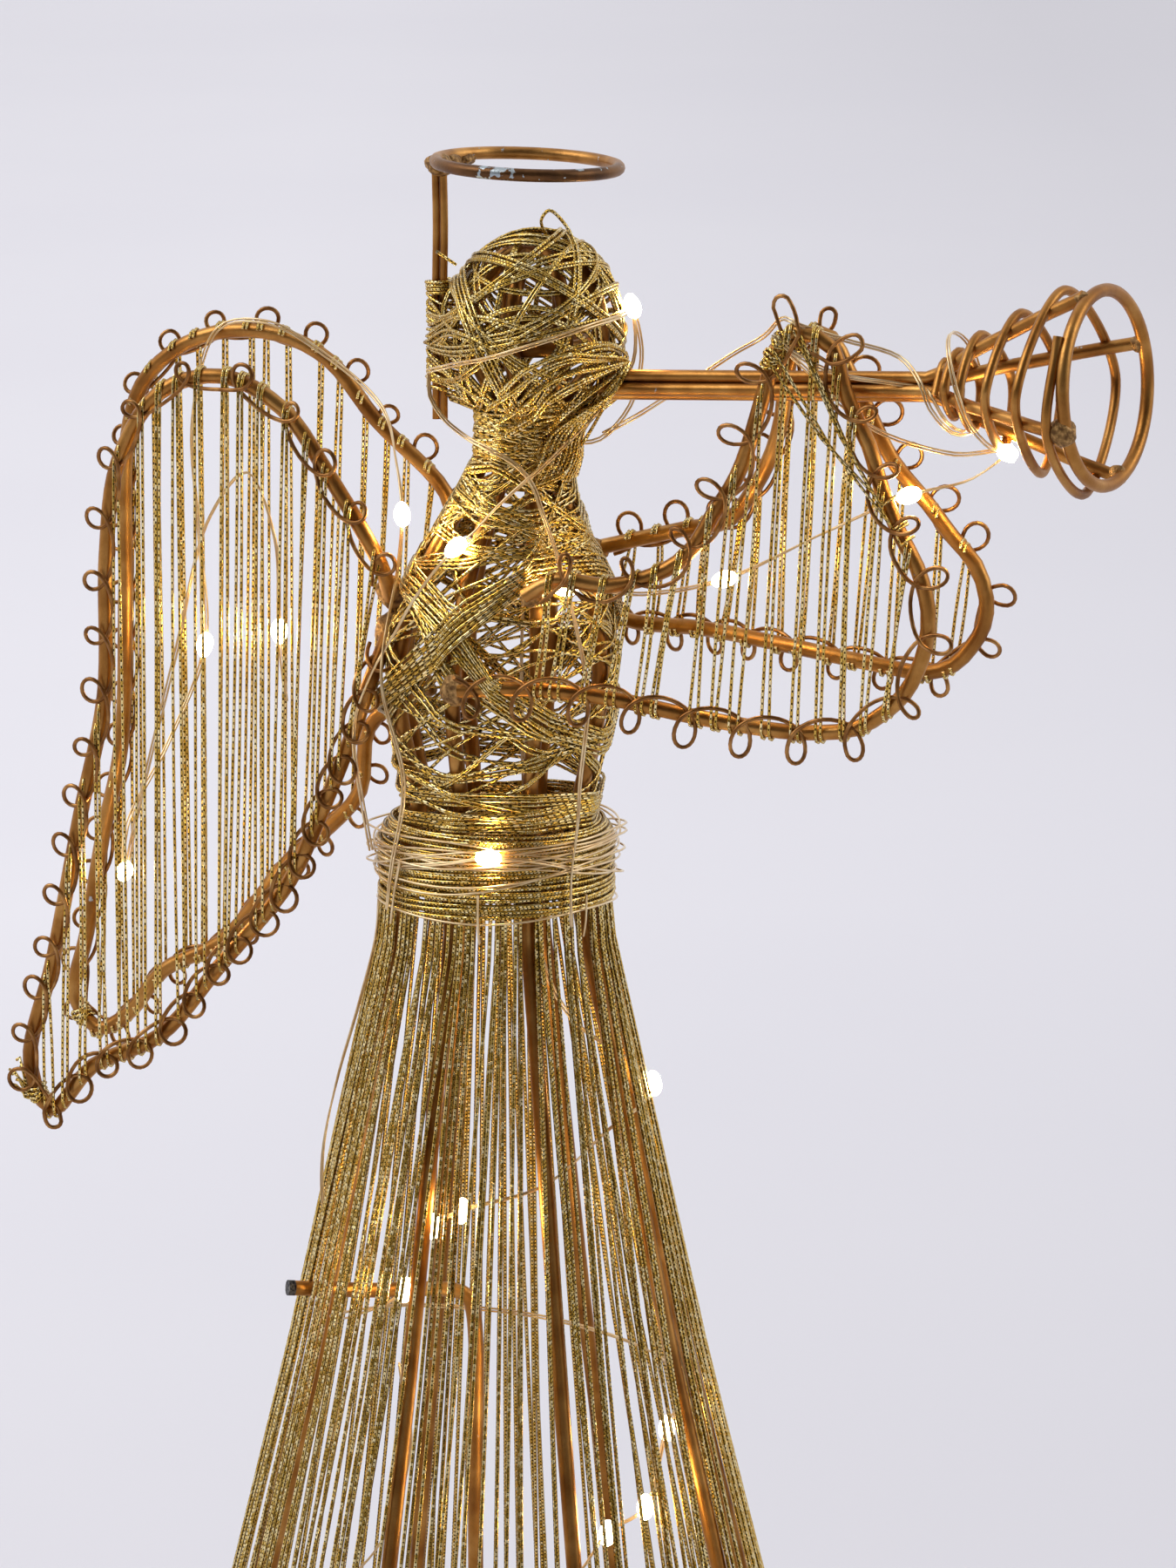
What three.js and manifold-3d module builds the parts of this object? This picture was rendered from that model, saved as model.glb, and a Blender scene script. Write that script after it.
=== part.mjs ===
// Angel tree topper: a figure bent from painted iron wire, wound and strung with
// metallic thread, with a battery light string. Millimetres, +Z up. The angel faces -Y
// and her right hand is on the -X side. She stands on the ring at the hem of her skirt.
import * as THREE from 'three';
import { mergeVertices } from 'three/addons/utils/BufferGeometryUtils.js';
import Module from 'manifold-3d';

// Wire and thread
const frameWire = 2.4;        // iron wire of the skirt, body, wings and sleeves
const haloWire = 2.0;
const postWire = 1.2;
const trumpetWire = 2.0;
const spiralWire = 1.5;
const eyeletWire = 0.7;
const thread = 0.55;
const lightWire = 0.6;
const clear = 0.3;            // gap between pieces that touch

// Skirt: radii are those of the thread's middle
const uprights = 8;
const uprightTurn = 6;        // degrees that the first upright stands round from the front
const hemThreadRadius = 61.8;
const skirtMidRadius = 31.9;
const skirtMidHeight = 121;
const beltBottomHeight = 189;
const beltTopHeight = 205.6;
const waistThreadRadius = 16.85;
const skirtThreadTop = 203;
const skirtThreadFoot = 1.2;
const skirtRuns = 10;         // thread runs in the bay between two uprights
const bracketBareShare = 0.14; // share of its bay that the bracket's bar keeps free of thread

// Torso and neck: a round body whose middle leans forward as it rises
const torsoFoot = 198;
const torsoHeight = 68;
const chestRadius = 19.3;
const neckLean = 4.5;
const torsoRadiusShares = [
  [0, 0.84], [0.14, 0.83], [0.28, 0.93], [0.42, 1], [0.57, 0.935],
  [0.7, 0.79], [0.8, 0.62], [0.91, 0.47], [1, 0.46],
];
const torsoLeanShares = [[0, 0], [0.14, 0.16], [0.42, 0.2], [0.7, 0.49], [0.91, 0.87], [1, 1]];
const torsoLayerStep = 1.2;   // from the middle of one thread layer to the next
const torsoWrapFoot = 213.4;
const torsoWrapTop = 257.6;
const torsoWrapTilt = 20;
const torsoWrapLoops = 12;
const torsoWrapSteps = 16;    // in a loop

// Head
const headHalfWidth = 14.9;   // to the middle of the outer thread layer
const headHalfDepth = 13.3;
const headHalfHeight = 15.3;
const headCentreHeight = 280;
const headForward = 6.6;
const headLayerStep = 1.25;
const headHoopInset = 0.7;    // from the middle of the inner layer in to the hoop's outside
const headWrapSteps = 18;     // in a loop
const headWrapTilt = 20;
const headWrapLoops = 9;
const headWrapStart = 22;     // degrees from the crown
const headWrapEnd = 128;
const crownTurn = 45;         // degrees of the hoop's plane round from the side
const headRingDrop = 2.4;     // from the head's centre down to the ring inside it

// Belt
const beltThreadRadius = 17.95;
const beltLoops = 7;
const beltSteps = 20;         // in a loop

// Halo
const haloRadius = 13.75;
const haloCentreForward = 5.2;
const haloAboveHead = 9.3;    // from the head's thread up to the ring's middle
const haloTilt = 2.6;
const haloPostSide = 1;
const haloPostDrop = 14.5;    // from the head's centre down to the posts' feet

// Trumpet: four wires in a bundle that spread to the bell's ring
const trumpetYaw = 3.5;       // degrees towards the angel's right
const trumpetRise = 2.75;
const mouthpieceForward = 20.6;
const mouthpieceHeight = 272;
const trumpetPipeLength = 50;
const bellLength = 27.5;
const bellRingRadius = 14.3;
const bellWireOverrun = 1.6;
const bellWireTurn = 20;
const bellSpiralTurns = 5.5;
const bellSpiralSteps = 12;   // in a turn
const bellSpiralSpread = 1.1; // above 1, the turns open out towards the bell's mouth

// Tree bracket: a bar soldered beside a back upright, bent down to a post
const bracketUpright = 3;
const bracketHeight = 129;
const bracketReach = 34.4;
const bracketPostOffset = 4.5;
const bracketBend = 3;
const bracketFoot = 14;

// Wings: their frames stand almost in planes of constant X
const wingRoot = 12;
const wingSpreadRoot = 12;
const wingSpreadTip = 15;
const nearWingFoot = 156.2;
const nearWingLength = 60;
const nearWingHeight = 116;
const nearWingShares = [
  [0.03, 0.69], [0.02, 0.76], [0.175, 0.88], [0.29, 0.96], [0.45, 1], [0.62, 0.975],
  [0.735, 0.88], [0.77, 0.757], [0.78, 0.57], [0.85, 0.405], [0.93, 0.207],
  [0.998, 0.06], [0.94, 0], [0.825, 0.064], [0.64, 0.112], [0.478, 0.21],
  [0.283, 0.333], [0.218, 0.418], [0.08, 0.54], [0.06, 0.6],
];
const farWingFoot = 162.2;
const farWingLength = 65.7;
const farWingHeight = 113.6;
const farWingShares = [
  [0.01, 0.71], [0.01, 0.79], [0.19, 0.886], [0.31, 0.963], [0.44, 0.995],
  [0.6, 0.993], [0.72, 0.962], [0.8, 0.915], [0.84, 0.84], [0.85, 0.62],
  [0.867, 0.408], [0.92, 0.275], [0.966, 0.136], [1, 0.042], [0.94, 0],
  [0.85, 0.03], [0.762, 0.092], [0.6, 0.143], [0.5, 0.21], [0.42, 0.267],
  [0.317, 0.317], [0.236, 0.371], [0.212, 0.46], [0.07, 0.55],
];
const wingFrameSteps = 40;
const wingEyelets = 26;
const wingRuns = 20;
const wingRunsShares = [0.1, 0.92];   // of its length, where a wing's thread starts and ends

// Sleeves: each leaves the shoulder slantwise and runs on beside the trumpet
const shoulderSide = 21.5;
const shoulderForward = 1;
const handForward = 51;
const nearHandSide = 7.6;
const farHandSide = 3.2;
const nearSleeveFoot = 222.3;
const nearSleeveLength = 71.1;
const nearSleeveHeight = 60;
const nearSleeveShares = [
  [0.09, 0.09], [0.16, 0.097], [0.33, 0.078], [0.51, 0.033], [0.685, 0], [0.76, 0],
  [0.845, 0.017], [0.91, 0.065], [0.95, 0.112], [0.976, 0.168], [0.995, 0.235],
  [1, 0.323], [0.975, 0.43], [0.935, 0.515], [0.897, 0.62], [0.868, 0.727],
  [0.84, 0.79], [0.81, 0.875], [0.79, 0.96], [0.752, 0.99], [0.707, 1],
  [0.672, 0.957], [0.655, 0.89], [0.63, 0.782], [0.603, 0.673], [0.578, 0.608],
  [0.543, 0.542], [0.508, 0.465], [0.473, 0.422], [0.42, 0.387], [0.332, 0.36],
  [0.226, 0.373], [0.1, 0.38],
];
const farSleeveFoot = 230.4;
const farSleeveLength = 76.8;
const farSleeveHeight = 50;
const farSleeveShares = [
  [0.13, 0.06], [0.2, 0.058], [0.384, 0.064], [0.592, 0.048], [0.775, 0.016], [0.88, 0],
  [0.935, 0.03], [0.97, 0.086], [0.995, 0.154], [1, 0.234], [0.977, 0.336],
  [0.932, 0.412], [0.879, 0.512], [0.807, 0.636], [0.754, 0.79], [0.715, 0.9],
  [0.681, 0.994], [0.63, 1], [0.599, 0.96], [0.578, 0.852], [0.569, 0.746],
  [0.548, 0.636], [0.508, 0.524], [0.445, 0.408], [0.341, 0.364], [0.17, 0.36],
];
const sleeveFrameSteps = 36;
const sleeveEyelets = 19;
const sleeveRuns = 13;
const sleeveRunsShares = [0.22, 0.94];

// Eyelets: one thin wire looped along each frame
const eyeletReach = 4;        // from the frame's middle out to the loop's end
const eyeletDip = 1.8;        // and in to the arcs between the loops
const eyeletSwing = 3;
const eyeletLift = 0.95;
const eyeletStart = 10;       // length of bare frame at each root
const netClear = 0.2;         // further gap between a frame and its thread

// Battery box, clipped on the back upright inside the skirt
const boxUpright = 4;
const boxMidHeight = 38;
const boxWidth = 28;
const boxLength = 54;
const boxWall = 1.4;
const boxSideWall = 2.3;
const boxLip = 1.2;           // rails that the cover slides behind
const grooveDepth = 1;
const coverThickness = 1.4;
const coverGripHeight = 1.2;
const coverGripLength = 3;
const coverGrips = 3;
const clipLength = 6;
const clipWidth = 7;
const clipPast = 0.9;         // how far a clip reaches past the wire's middle
const clipPlaceShare = 0.36;
const cellDiameter = 10.4;
const cellLength = 43;
const cellNubDiameter = 3.8;
const cellNubLength = 1;
const contactThickness = 0.5;
const contactWidth = 18;
const contactHeight = 7;
const sliderLength = 5;
const sliderWidth = 3;
const sliderHeight = 2.2;
const sliderTravel = 3;
const sliderPocket = 1.1;
const overrun = 1;            // how far a cutter passes the face it cuts

// Light string: a thin wire with drops of clear resin over its lights
const beadDiameter = 2.6;
const beadLength = 4;
const lightExit = 262.4;      // height at which it leaves the neck
const lightExitTurn = 286.5;
const lightEndGap = 0.4;
const lightSteps = 2;         // sections between two points of a route

const painted = new THREE.MeshStandardMaterial({ color: '#a9763c', roughness: 0.42, metalness: 0.75 });
const metallic = new THREE.MeshStandardMaterial({ color: '#c2b06a', roughness: 0.38, metalness: 0.7 });
const lights = new THREE.MeshStandardMaterial({ color: '#e6d3a4', roughness: 0.35, metalness: 0.6 });
const moulded = new THREE.MeshStandardMaterial({ color: '#d8d3c4', roughness: 0.5, metalness: 0 });
const cellSkin = new THREE.MeshStandardMaterial({ color: '#3b4a40', roughness: 0.35, metalness: 0.2 });
const nickel = new THREE.MeshStandardMaterial({ color: '#b9bab8', roughness: 0.3, metalness: 1 });

const wasm = await Module();
wasm.setup();
const angel = new THREE.Group();

function add(name, geometry, material) {
  const mesh = new THREE.Mesh(geometry, material);
  mesh.name = name;
  angel.add(mesh);
  return mesh;
}

function radians(degrees) {
  return THREE.MathUtils.degToRad(degrees);
}

// The value at a share of the way along a table of [share, value] pairs, on a smooth curve
function along(shares, at) {
  const last = shares.length - 1;
  let i = 0;
  while (i < last - 1 && at > shares[i + 1][0]) i += 1;
  const slope = (a, b) => (shares[b][1] - shares[a][1]) / (shares[b][0] - shares[a][0]);
  const width = shares[i + 1][0] - shares[i][0];
  const t = THREE.MathUtils.clamp((at - shares[i][0]) / width, 0, 1);
  const startSlope = slope(Math.max(i - 1, 0), i + 1) * width;
  const endSlope = slope(i, Math.min(i + 2, last)) * width;
  const t2 = t * t;
  const t3 = t2 * t;
  return (2 * t3 - 3 * t2 + 1) * shares[i][1] + (t3 - 2 * t2 + t) * startSlope
    + (3 * t2 - 2 * t3) * shares[i + 1][1] + (t3 - t2) * endSlope;
}

// A path that turns only at its own points, so that a tube has a section at each one
class BentPath extends THREE.Curve {
  constructor(points) {
    super();
    this.points = points;
  }

  getUtoTmapping(u) {
    return u;
  }

  getPoint(t) {
    const at = t * (this.points.length - 1);
    const i = Math.min(Math.floor(at), this.points.length - 2);
    return this.points[i].clone().lerp(this.points[i + 1], at - i);
  }

  getTangent(t) {
    const at = t * (this.points.length - 1);
    const near = Math.round(at);
    const from = this.points[Math.max(near - 1, 0)];
    const here = this.points[near];
    const to = this.points[Math.min(near + 1, this.points.length - 1)];
    const into = here.clone().sub(from).normalize();
    const out = to.clone().sub(here).normalize();
    return into.add(out).normalize();
  }
}

// A closed tube through the given points
function tube(points, diameter, sides) {
  const corners = [];
  for (let i = 0; i < sides; i += 1) {
    const angle = (2 * Math.PI * i) / sides;
    corners.push(new THREE.Vector2(Math.cos(angle), Math.sin(angle)).multiplyScalar(diameter / 2));
  }
  const path = new BentPath(points);
  return new THREE.ExtrudeGeometry(new THREE.Shape(corners), {
    steps: points.length - 1,
    extrudePath: path,
    bevelEnabled: false,
  });
}

// A closed ring about +Z whose section has a flat underside
function ring(radius, diameter, segments, sides = 6) {
  const profile = [];
  for (let i = 0; i <= sides; i += 1) {
    const angle = (2 * Math.PI * (i + 0.5)) / sides + Math.PI / 2;
    profile.push(new THREE.Vector2(
      radius + (Math.cos(angle) * diameter) / 2,
      (Math.sin(angle) * diameter) / 2,
    ));
  }
  profile[sides].copy(profile[0]);
  return new THREE.LatheGeometry(profile, segments).rotateX(Math.PI / 2);
}

function round(radius, degrees, height, middle = 0) {
  const angle = radians(degrees);
  return new THREE.Vector3(radius * Math.cos(angle), middle + radius * Math.sin(angle), height);
}

function distanceBetween(a, b, c, d) {
  const first = new THREE.Line3(a, b);
  const second = new THREE.Line3(c, d);
  return Math.sqrt(first.distanceSqToLine3(second));
}

// Prints the least gap between stretches of one wound tube that aren't neighbours
function printLeastGap(name, points, diameter) {
  let least = Infinity;
  for (let i = 0; i < points.length - 1; i += 1) {
    let between = 0;
    for (let j = i + 2; j < points.length - 1; j += 1) {
      between += points[j - 1].distanceTo(points[j]);
      if (between > 4 * diameter) {
        least = Math.min(least, distanceBetween(points[i], points[i + 1], points[j], points[j + 1]));
      }
    }
  }
  console.log(`${name}: least gap to itself ${(least - diameter).toFixed(2)} mm`);
}

function wound(name, points, diameter, sides, material) {
  printLeastGap(name, points, diameter);
  add(name, tube(points, diameter, sides), material);
}

function uprightAngle(index) {
  return 270 - uprightTurn - (360 / uprights) * index;
}

// Middle of the skirt's thread at a height
function skirtThreadRadius(height) {
  if (height > beltBottomHeight) return waistThreadRadius;
  if (height > skirtMidHeight) {
    const share = (height - skirtMidHeight) / (beltBottomHeight - skirtMidHeight);
    return THREE.MathUtils.lerp(skirtMidRadius, waistThreadRadius, share);
  }
  return THREE.MathUtils.lerp(hemThreadRadius, skirtMidRadius, height / skirtMidHeight);
}

const threadToUpright = thread / 2 + clear + frameWire / 2;

function torsoRadius(height) {
  return chestRadius * along(torsoRadiusShares, (height - torsoFoot) / torsoHeight);
}

function torsoMiddle(height) {
  return -neckLean * along(torsoLeanShares, (height - torsoFoot) / torsoHeight);
}

const outerTorsoInset = thread / 2;
const innerTorsoInset = outerTorsoInset + torsoLayerStep;
const torsoWrapSag = chestRadius * (1 - Math.cos(Math.PI / torsoWrapSteps));
const uprightInset = innerTorsoInset + threadToUpright + torsoWrapSag;

// The head's hoop stands on the tops of the uprights
const hoopHalfHeight = headHalfHeight - headLayerStep - headHoopInset - frameWire / 2;
const hoopHalfWidth = hoopHalfHeight - (headHalfHeight - headHalfDepth) + headHoopInset / 2;
const neckTop = headCentreHeight - hoopHalfHeight - frameWire / 2 - clear;
const neckUprightRadius = torsoRadius(neckTop) - uprightInset;
const headCentre = new THREE.Vector3(0, -headForward, headCentreHeight);

const hemLift = (frameWire / 2) * Math.cos(Math.PI / 6);
const skirtLean = Math.atan2(hemThreadRadius - skirtMidRadius, skirtMidHeight);

function makeHem() {
  const radius = hemThreadRadius - threadToUpright - clear;
  add('hem_ring', ring(radius, frameWire, 40), painted).position.z = hemLift;
}

function uprightPoints(index) {
  const angle = uprightAngle(index);
  const foot = 2 * hemLift + clear + (frameWire / 2) * Math.sin(skirtLean);
  const points = [];
  for (const share of [0, 0.35, 0.7]) {
    const height = THREE.MathUtils.lerp(foot, skirtMidHeight, share);
    points.push(round(skirtThreadRadius(height) - threadToUpright, angle, height));
  }
  for (const share of [0, 0.5, 1]) {
    const height = THREE.MathUtils.lerp(skirtMidHeight, beltBottomHeight, share);
    points.push(round(skirtThreadRadius(height) - threadToUpright, angle, height));
  }
  points.push(round(waistThreadRadius - threadToUpright, angle, torsoFoot));
  for (const share of [0.17, 0.28, 0.42, 0.5, 0.6, 0.7, 0.8, 0.9]) {
    const height = torsoFoot + share * torsoHeight;
    points.push(round(torsoRadius(height) - uprightInset, angle, height, torsoMiddle(height)));
  }
  points.push(round(neckUprightRadius, angle, neckTop, torsoMiddle(neckTop)));
  return points;
}

function makeUprights() {
  for (let i = 0; i < uprights; i += 1) {
    add(`upright_wire_${i + 1}`, tube(uprightPoints(i), frameWire, 5), painted);
  }
}

function makeBodyRings() {
  const waistRadius = waistThreadRadius - threadToUpright - frameWire - clear;
  add('waist_ring', ring(waistRadius, frameWire, 20), painted).position.z = torsoFoot - frameWire;
  const neckRadius = neckUprightRadius - frameWire - clear;
  const neck = add('neck_ring', ring(neckRadius, frameWire, 14), painted);
  neck.position.set(0, torsoMiddle(neckTop), neckTop - frameWire / 2);
}

function makeHeadFrame() {
  const hoop = new THREE.TorusGeometry(hoopHalfHeight, frameWire / 2, 6, 24);
  hoop.scale(hoopHalfWidth / hoopHalfHeight, 1, 1);
  const hoopMesh = add('head_hoop', hoop.rotateX(Math.PI / 2), painted);
  hoopMesh.rotation.z = radians(crownTurn);
  hoopMesh.position.copy(headCentre);
  const trim = (frameWire / 2 + frameWire / 2 + clear) / hoopHalfWidth;
  for (const [name, side] of [['head_arc_near', -1], ['head_arc_far', 1]]) {
    const points = [];
    const steps = 10;
    for (let i = 0; i <= steps; i += 1) {
      const angle = trim + ((Math.PI - 2 * trim) * i) / steps;
      const reach = side * hoopHalfWidth * Math.sin(angle);
      const across = round(reach, crownTurn - 90, hoopHalfHeight * Math.cos(angle));
      points.push(across.add(headCentre));
    }
    add(name, tube(points, frameWire, 6), painted);
  }
  const inside = add('head_ring', ring(hoopHalfWidth - frameWire - 2 * clear, frameWire, 16), painted);
  inside.position.copy(headCentre).setZ(headCentreHeight - headRingDrop);
}

const haloHeight = headCentreHeight + headHalfHeight + haloAboveHead;

function makeHalo() {
  const halo = add('halo_ring', ring(haloRadius, haloWire, 28), painted);
  halo.position.set(0, -haloCentreForward, haloHeight);
  halo.rotation.x = radians(haloTilt);
  const back = haloHeight + haloRadius * Math.sin(radians(haloTilt));
  const top = back - haloWire / 2 - clear;
  const front = headCentre.y + headHalfDepth + thread / 2 + clear + postWire / 2;
  for (const [name, behind] of [['halo_post_front', 0], ['halo_post_back', postWire + clear]]) {
    const y = front + behind;
    const foot = new THREE.Vector3(-haloPostSide, y, headCentreHeight - haloPostDrop);
    add(name, tube([foot, new THREE.Vector3(-haloPostSide, y, top)], postWire, 6), painted);
  }
}

// A point on one thread layer of the head's ball, on a turn that leans to one side
function headPoint(inset, polar, turn, tilt) {
  const point = new THREE.Vector3(
    Math.sin(radians(polar)) * Math.cos(turn),
    Math.sin(radians(polar)) * Math.sin(turn),
    Math.cos(radians(polar)),
  ).applyAxisAngle(new THREE.Vector3(1, 0, 0), radians(tilt));
  point.x *= headHalfWidth - inset;
  point.y *= headHalfDepth - inset;
  point.z *= headHalfHeight - inset;
  return point.add(headCentre);
}

function makeHeadWrap() {
  const points = [];
  const steps = (headWrapLoops / 2) * headWrapSteps;
  for (const [inset, from, to, tilt, turned] of [
    [headLayerStep, headWrapStart, headWrapEnd, headWrapTilt, 0],
    [0, headWrapEnd, headWrapStart, -headWrapTilt, steps],
  ]) {
    for (let i = 0; i <= steps; i += 1) {
      const polar = THREE.MathUtils.lerp(from, to, i / steps);
      const turn = (2 * Math.PI * (turned + i)) / headWrapSteps;
      points.push(headPoint(inset, polar, turn, tilt));
    }
  }
  wound('head_wrap', points, thread, 3, metallic);
}

// One layer of the torso's thread, on turns that lean to one side
function torsoLayer(inset, lean, from, to) {
  const points = [];
  const steps = (torsoWrapLoops / 2) * torsoWrapSteps;
  for (let i = 0; i <= steps; i += 1) {
    const middle = THREE.MathUtils.lerp(from, to, i / steps);
    const turn = (2 * Math.PI * i) / torsoWrapSteps;
    const rise = Math.tan(radians(torsoWrapTilt)) * torsoRadius(middle);
    const height = middle + lean * rise * Math.sin(turn);
    const radius = torsoRadius(height) - inset;
    const angle = radians(uprightAngle(0)) + turn;
    points.push(new THREE.Vector3(
      radius * Math.cos(angle),
      torsoMiddle(height) + radius * Math.sin(angle),
      height,
    ));
  }
  return points;
}

const innerTorsoThread = torsoLayer(innerTorsoInset, 1, torsoWrapFoot, torsoWrapTop);
const outerTorsoThread = torsoLayer(outerTorsoInset, -1, torsoWrapTop, torsoWrapFoot);

function makeTorsoWrap() {
  wound('torso_wrap', [...innerTorsoThread, ...outerTorsoThread], thread, 3, metallic);
}

// The place near a point where a frame's wire lies on the torso's outer thread
function torsoSeat(point) {
  const nearest = new THREE.Vector3(Infinity, 0, 0);
  const stretch = new THREE.Line3();
  for (let i = 0; i < outerTorsoThread.length - 1; i += 1) {
    stretch.set(outerTorsoThread[i], outerTorsoThread[i + 1]);
    const here = stretch.closestPointToPoint(point, true, new THREE.Vector3());
    if (here.distanceTo(point) < nearest.distanceTo(point)) nearest.copy(here);
  }
  const out = nearest.clone().sub(new THREE.Vector3(0, torsoMiddle(nearest.z), nearest.z));
  return out.setLength(out.length() + thread / 2 + clear / 2 + frameWire / 2)
    .add(new THREE.Vector3(0, torsoMiddle(nearest.z), nearest.z));
}

function makeBelt() {
  const points = [];
  const steps = beltLoops * beltSteps;
  const foot = beltBottomHeight + thread;
  const top = beltTopHeight - thread;
  for (let i = 0; i <= steps; i += 1) {
    const height = THREE.MathUtils.lerp(foot, top, i / steps);
    points.push(round(beltThreadRadius, (360 * i) / beltSteps, height));
  }
  wound('waist_wrap', points, thread, 3, metallic);
}

// One thread goes up and down across each bay, round the hem and the belt's top
function makeSkirtThread() {
  const bay = 360 / uprights;
  for (let k = 0; k < uprights; k += 1) {
    const bare = k === bracketUpright ? bracketBareShare : 0;
    const runs = Math.round(skirtRuns * (1 - bare));
    const points = [];
    for (let i = 0; i < runs; i += 1) {
      const share = THREE.MathUtils.lerp(bare, 1, (i + 0.5) / runs);
      const run = [skirtThreadTop, beltBottomHeight, skirtMidHeight, skirtThreadFoot]
        .map((height) => round(skirtThreadRadius(height), uprightAngle(k) - bay * share, height));
      points.push(...(i % 2 ? run.reverse() : run));
    }
    wound(`skirt_thread_${k + 1}`, points, thread, 3, metallic);
  }
}

function makeBracket() {
  const angle = uprightAngle(bracketUpright);
  const aside = round(frameWire + clear, angle - 90, 0);
  const outer = round(bracketReach, angle, bracketHeight).add(aside);
  const bendStart = round(bracketPostOffset + bracketBend, angle, bracketHeight).add(aside);
  const corner = round(bracketPostOffset, angle, bracketHeight).add(aside);
  const bendEnd = corner.clone().setZ(bracketHeight - bracketBend);
  const bend = new THREE.QuadraticBezierCurve3(bendStart, corner, bendEnd).getPoints(4);
  const foot = corner.clone().setZ(bracketFoot);
  add('tree_bracket', tube([outer, ...bend, foot], frameWire, 8), painted);
}

// Places the trumpet's own frame, whose +Z runs from the mouthpiece to the bell
const trumpetFrame = new THREE.Matrix4().makeTranslation(0, -mouthpieceForward, mouthpieceHeight)
  .multiply(new THREE.Matrix4().makeRotationZ(radians(-trumpetYaw)))
  .multiply(new THREE.Matrix4().makeRotationX(radians(90 - trumpetRise)));

const bundleOffset = (trumpetWire + clear) / 2;
const bellLean = Math.atan2(bellRingRadius - trumpetWire, bellLength);
const bellWireReach = bellRingRadius - (trumpetWire + clear) / Math.cos(bellLean);

function trumpetPoint(radius, degrees, distance) {
  return round(radius, degrees, distance).applyMatrix4(trumpetFrame);
}

function makeTrumpet() {
  const bundleRadius = bundleOffset * Math.SQRT2;
  const ringAt = trumpetPipeLength + bellLength;
  for (let i = 0; i < 4; i += 1) {
    const turn = bellWireTurn + 90 * i;
    const points = [
      trumpetPoint(bundleRadius, turn, 0),
      trumpetPoint(bundleRadius, turn, trumpetPipeLength),
      trumpetPoint(bellWireReach, turn, ringAt),
    ];
    const past = points[2].clone().sub(points[1]).normalize().multiplyScalar(bellWireOverrun);
    points[2].add(past);
    add(`trumpet_wire_${i + 1}`, tube(points, trumpetWire, 6), painted);
  }
  const bell = add('bell_ring', ring(bellRingRadius, trumpetWire, 26), painted);
  bell.applyMatrix4(trumpetFrame.clone().multiply(new THREE.Matrix4().makeTranslation(0, 0, ringAt)));
  const points = [];
  const steps = bellSpiralTurns * bellSpiralSteps;
  const offWire = trumpetWire / 2 + clear + spiralWire / 2;
  const first = spiralWire;
  const last = bellLength - trumpetWire / 2 - clear - spiralWire / 2;
  for (let i = 0; i <= steps; i += 1) {
    const distance = THREE.MathUtils.lerp(first, last, (i / steps) ** bellSpiralSpread);
    const wireRadius = THREE.MathUtils.lerp(bundleRadius, bellWireReach, distance / bellLength);
    const radius = (wireRadius + offWire) / Math.cos(Math.PI / bellSpiralSteps);
    const turn = bellWireTurn + (360 * i) / bellSpiralSteps;
    points.push(trumpetPoint(radius, turn, trumpetPipeLength + distance));
  }
  wound('bell_spiral', points, spiralWire, 4, painted);
}

// A frame is described by its outline in shares of its length and height, and by how far
// it stands to the side at each place along Y
function frameCurve(shape) {
  const points = shape.shares.map(([forwardShare, heightShare]) => {
    const y = shape.root + shape.direction * forwardShare * shape.length;
    const z = shape.foot + heightShare * shape.height;
    return new THREE.Vector3(shape.side(y), y, z);
  });
  points[0] = torsoSeat(points[0]);
  points[points.length - 1] = torsoSeat(points.at(-1));
  return new THREE.CatmullRomCurve3(points, false, 'centripetal');
}

function makeFrame(name, shape, steps) {
  add(`${name}_frame`, tube(shape.curve.getSpacedPoints(steps), frameWire, 5), painted);
}

// Loops outward and long arcs inward, like a trochoid, on the frame's outer face
function makeEyelets(name, shape, count) {
  const length = shape.curve.getLength();
  const pitch = (length - 2 * eyeletStart) / count;
  const middle = (eyeletReach - eyeletDip) / 2;
  const swing = (eyeletReach + eyeletDip) / 2;
  const lift = frameWire / 2 + clear + eyeletWire / 2 + eyeletLift;
  const stepsPerLoop = 6;
  const points = [];
  for (let i = 0; i <= count * stepsPerLoop; i += 1) {
    const turn = (2 * Math.PI * i) / stepsPerLoop;
    const at = eyeletStart + (pitch * i) / stepsPerLoop;
    const nearest = THREE.MathUtils.clamp((at + eyeletSwing * Math.sin(turn)) / length, 0, 1);
    const point = shape.curve.getPointAt(nearest);
    const tangent = shape.curve.getTangentAt(THREE.MathUtils.clamp(at / length, 0, 1));
    const outward = new THREE.Vector3(0, -tangent.z, tangent.y).normalize();
    point.addScaledVector(outward, middle - swing * Math.cos(turn));
    point.x += shape.outer * (lift - eyeletLift * Math.sin(turn));
    points.push(point);
  }
  wound(`${name}_eyelets`, points, eyeletWire, 3, painted);
}

// Where the frame's outline is crossed at one place along Y, lowest and highest
function crossings(points, y) {
  const crossed = [];
  for (let i = 0; i < points.length - 1; i += 1) {
    const a = points[i];
    const b = points[i + 1];
    if ((a.y - y) * (b.y - y) <= 0 && a.y !== b.y) {
      crossed.push(a.clone().lerp(b, (y - a.y) / (b.y - a.y)));
    }
  }
  crossed.sort((a, b) => a.z - b.z);
  return [crossed[0], crossed.at(-1)];
}

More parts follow.
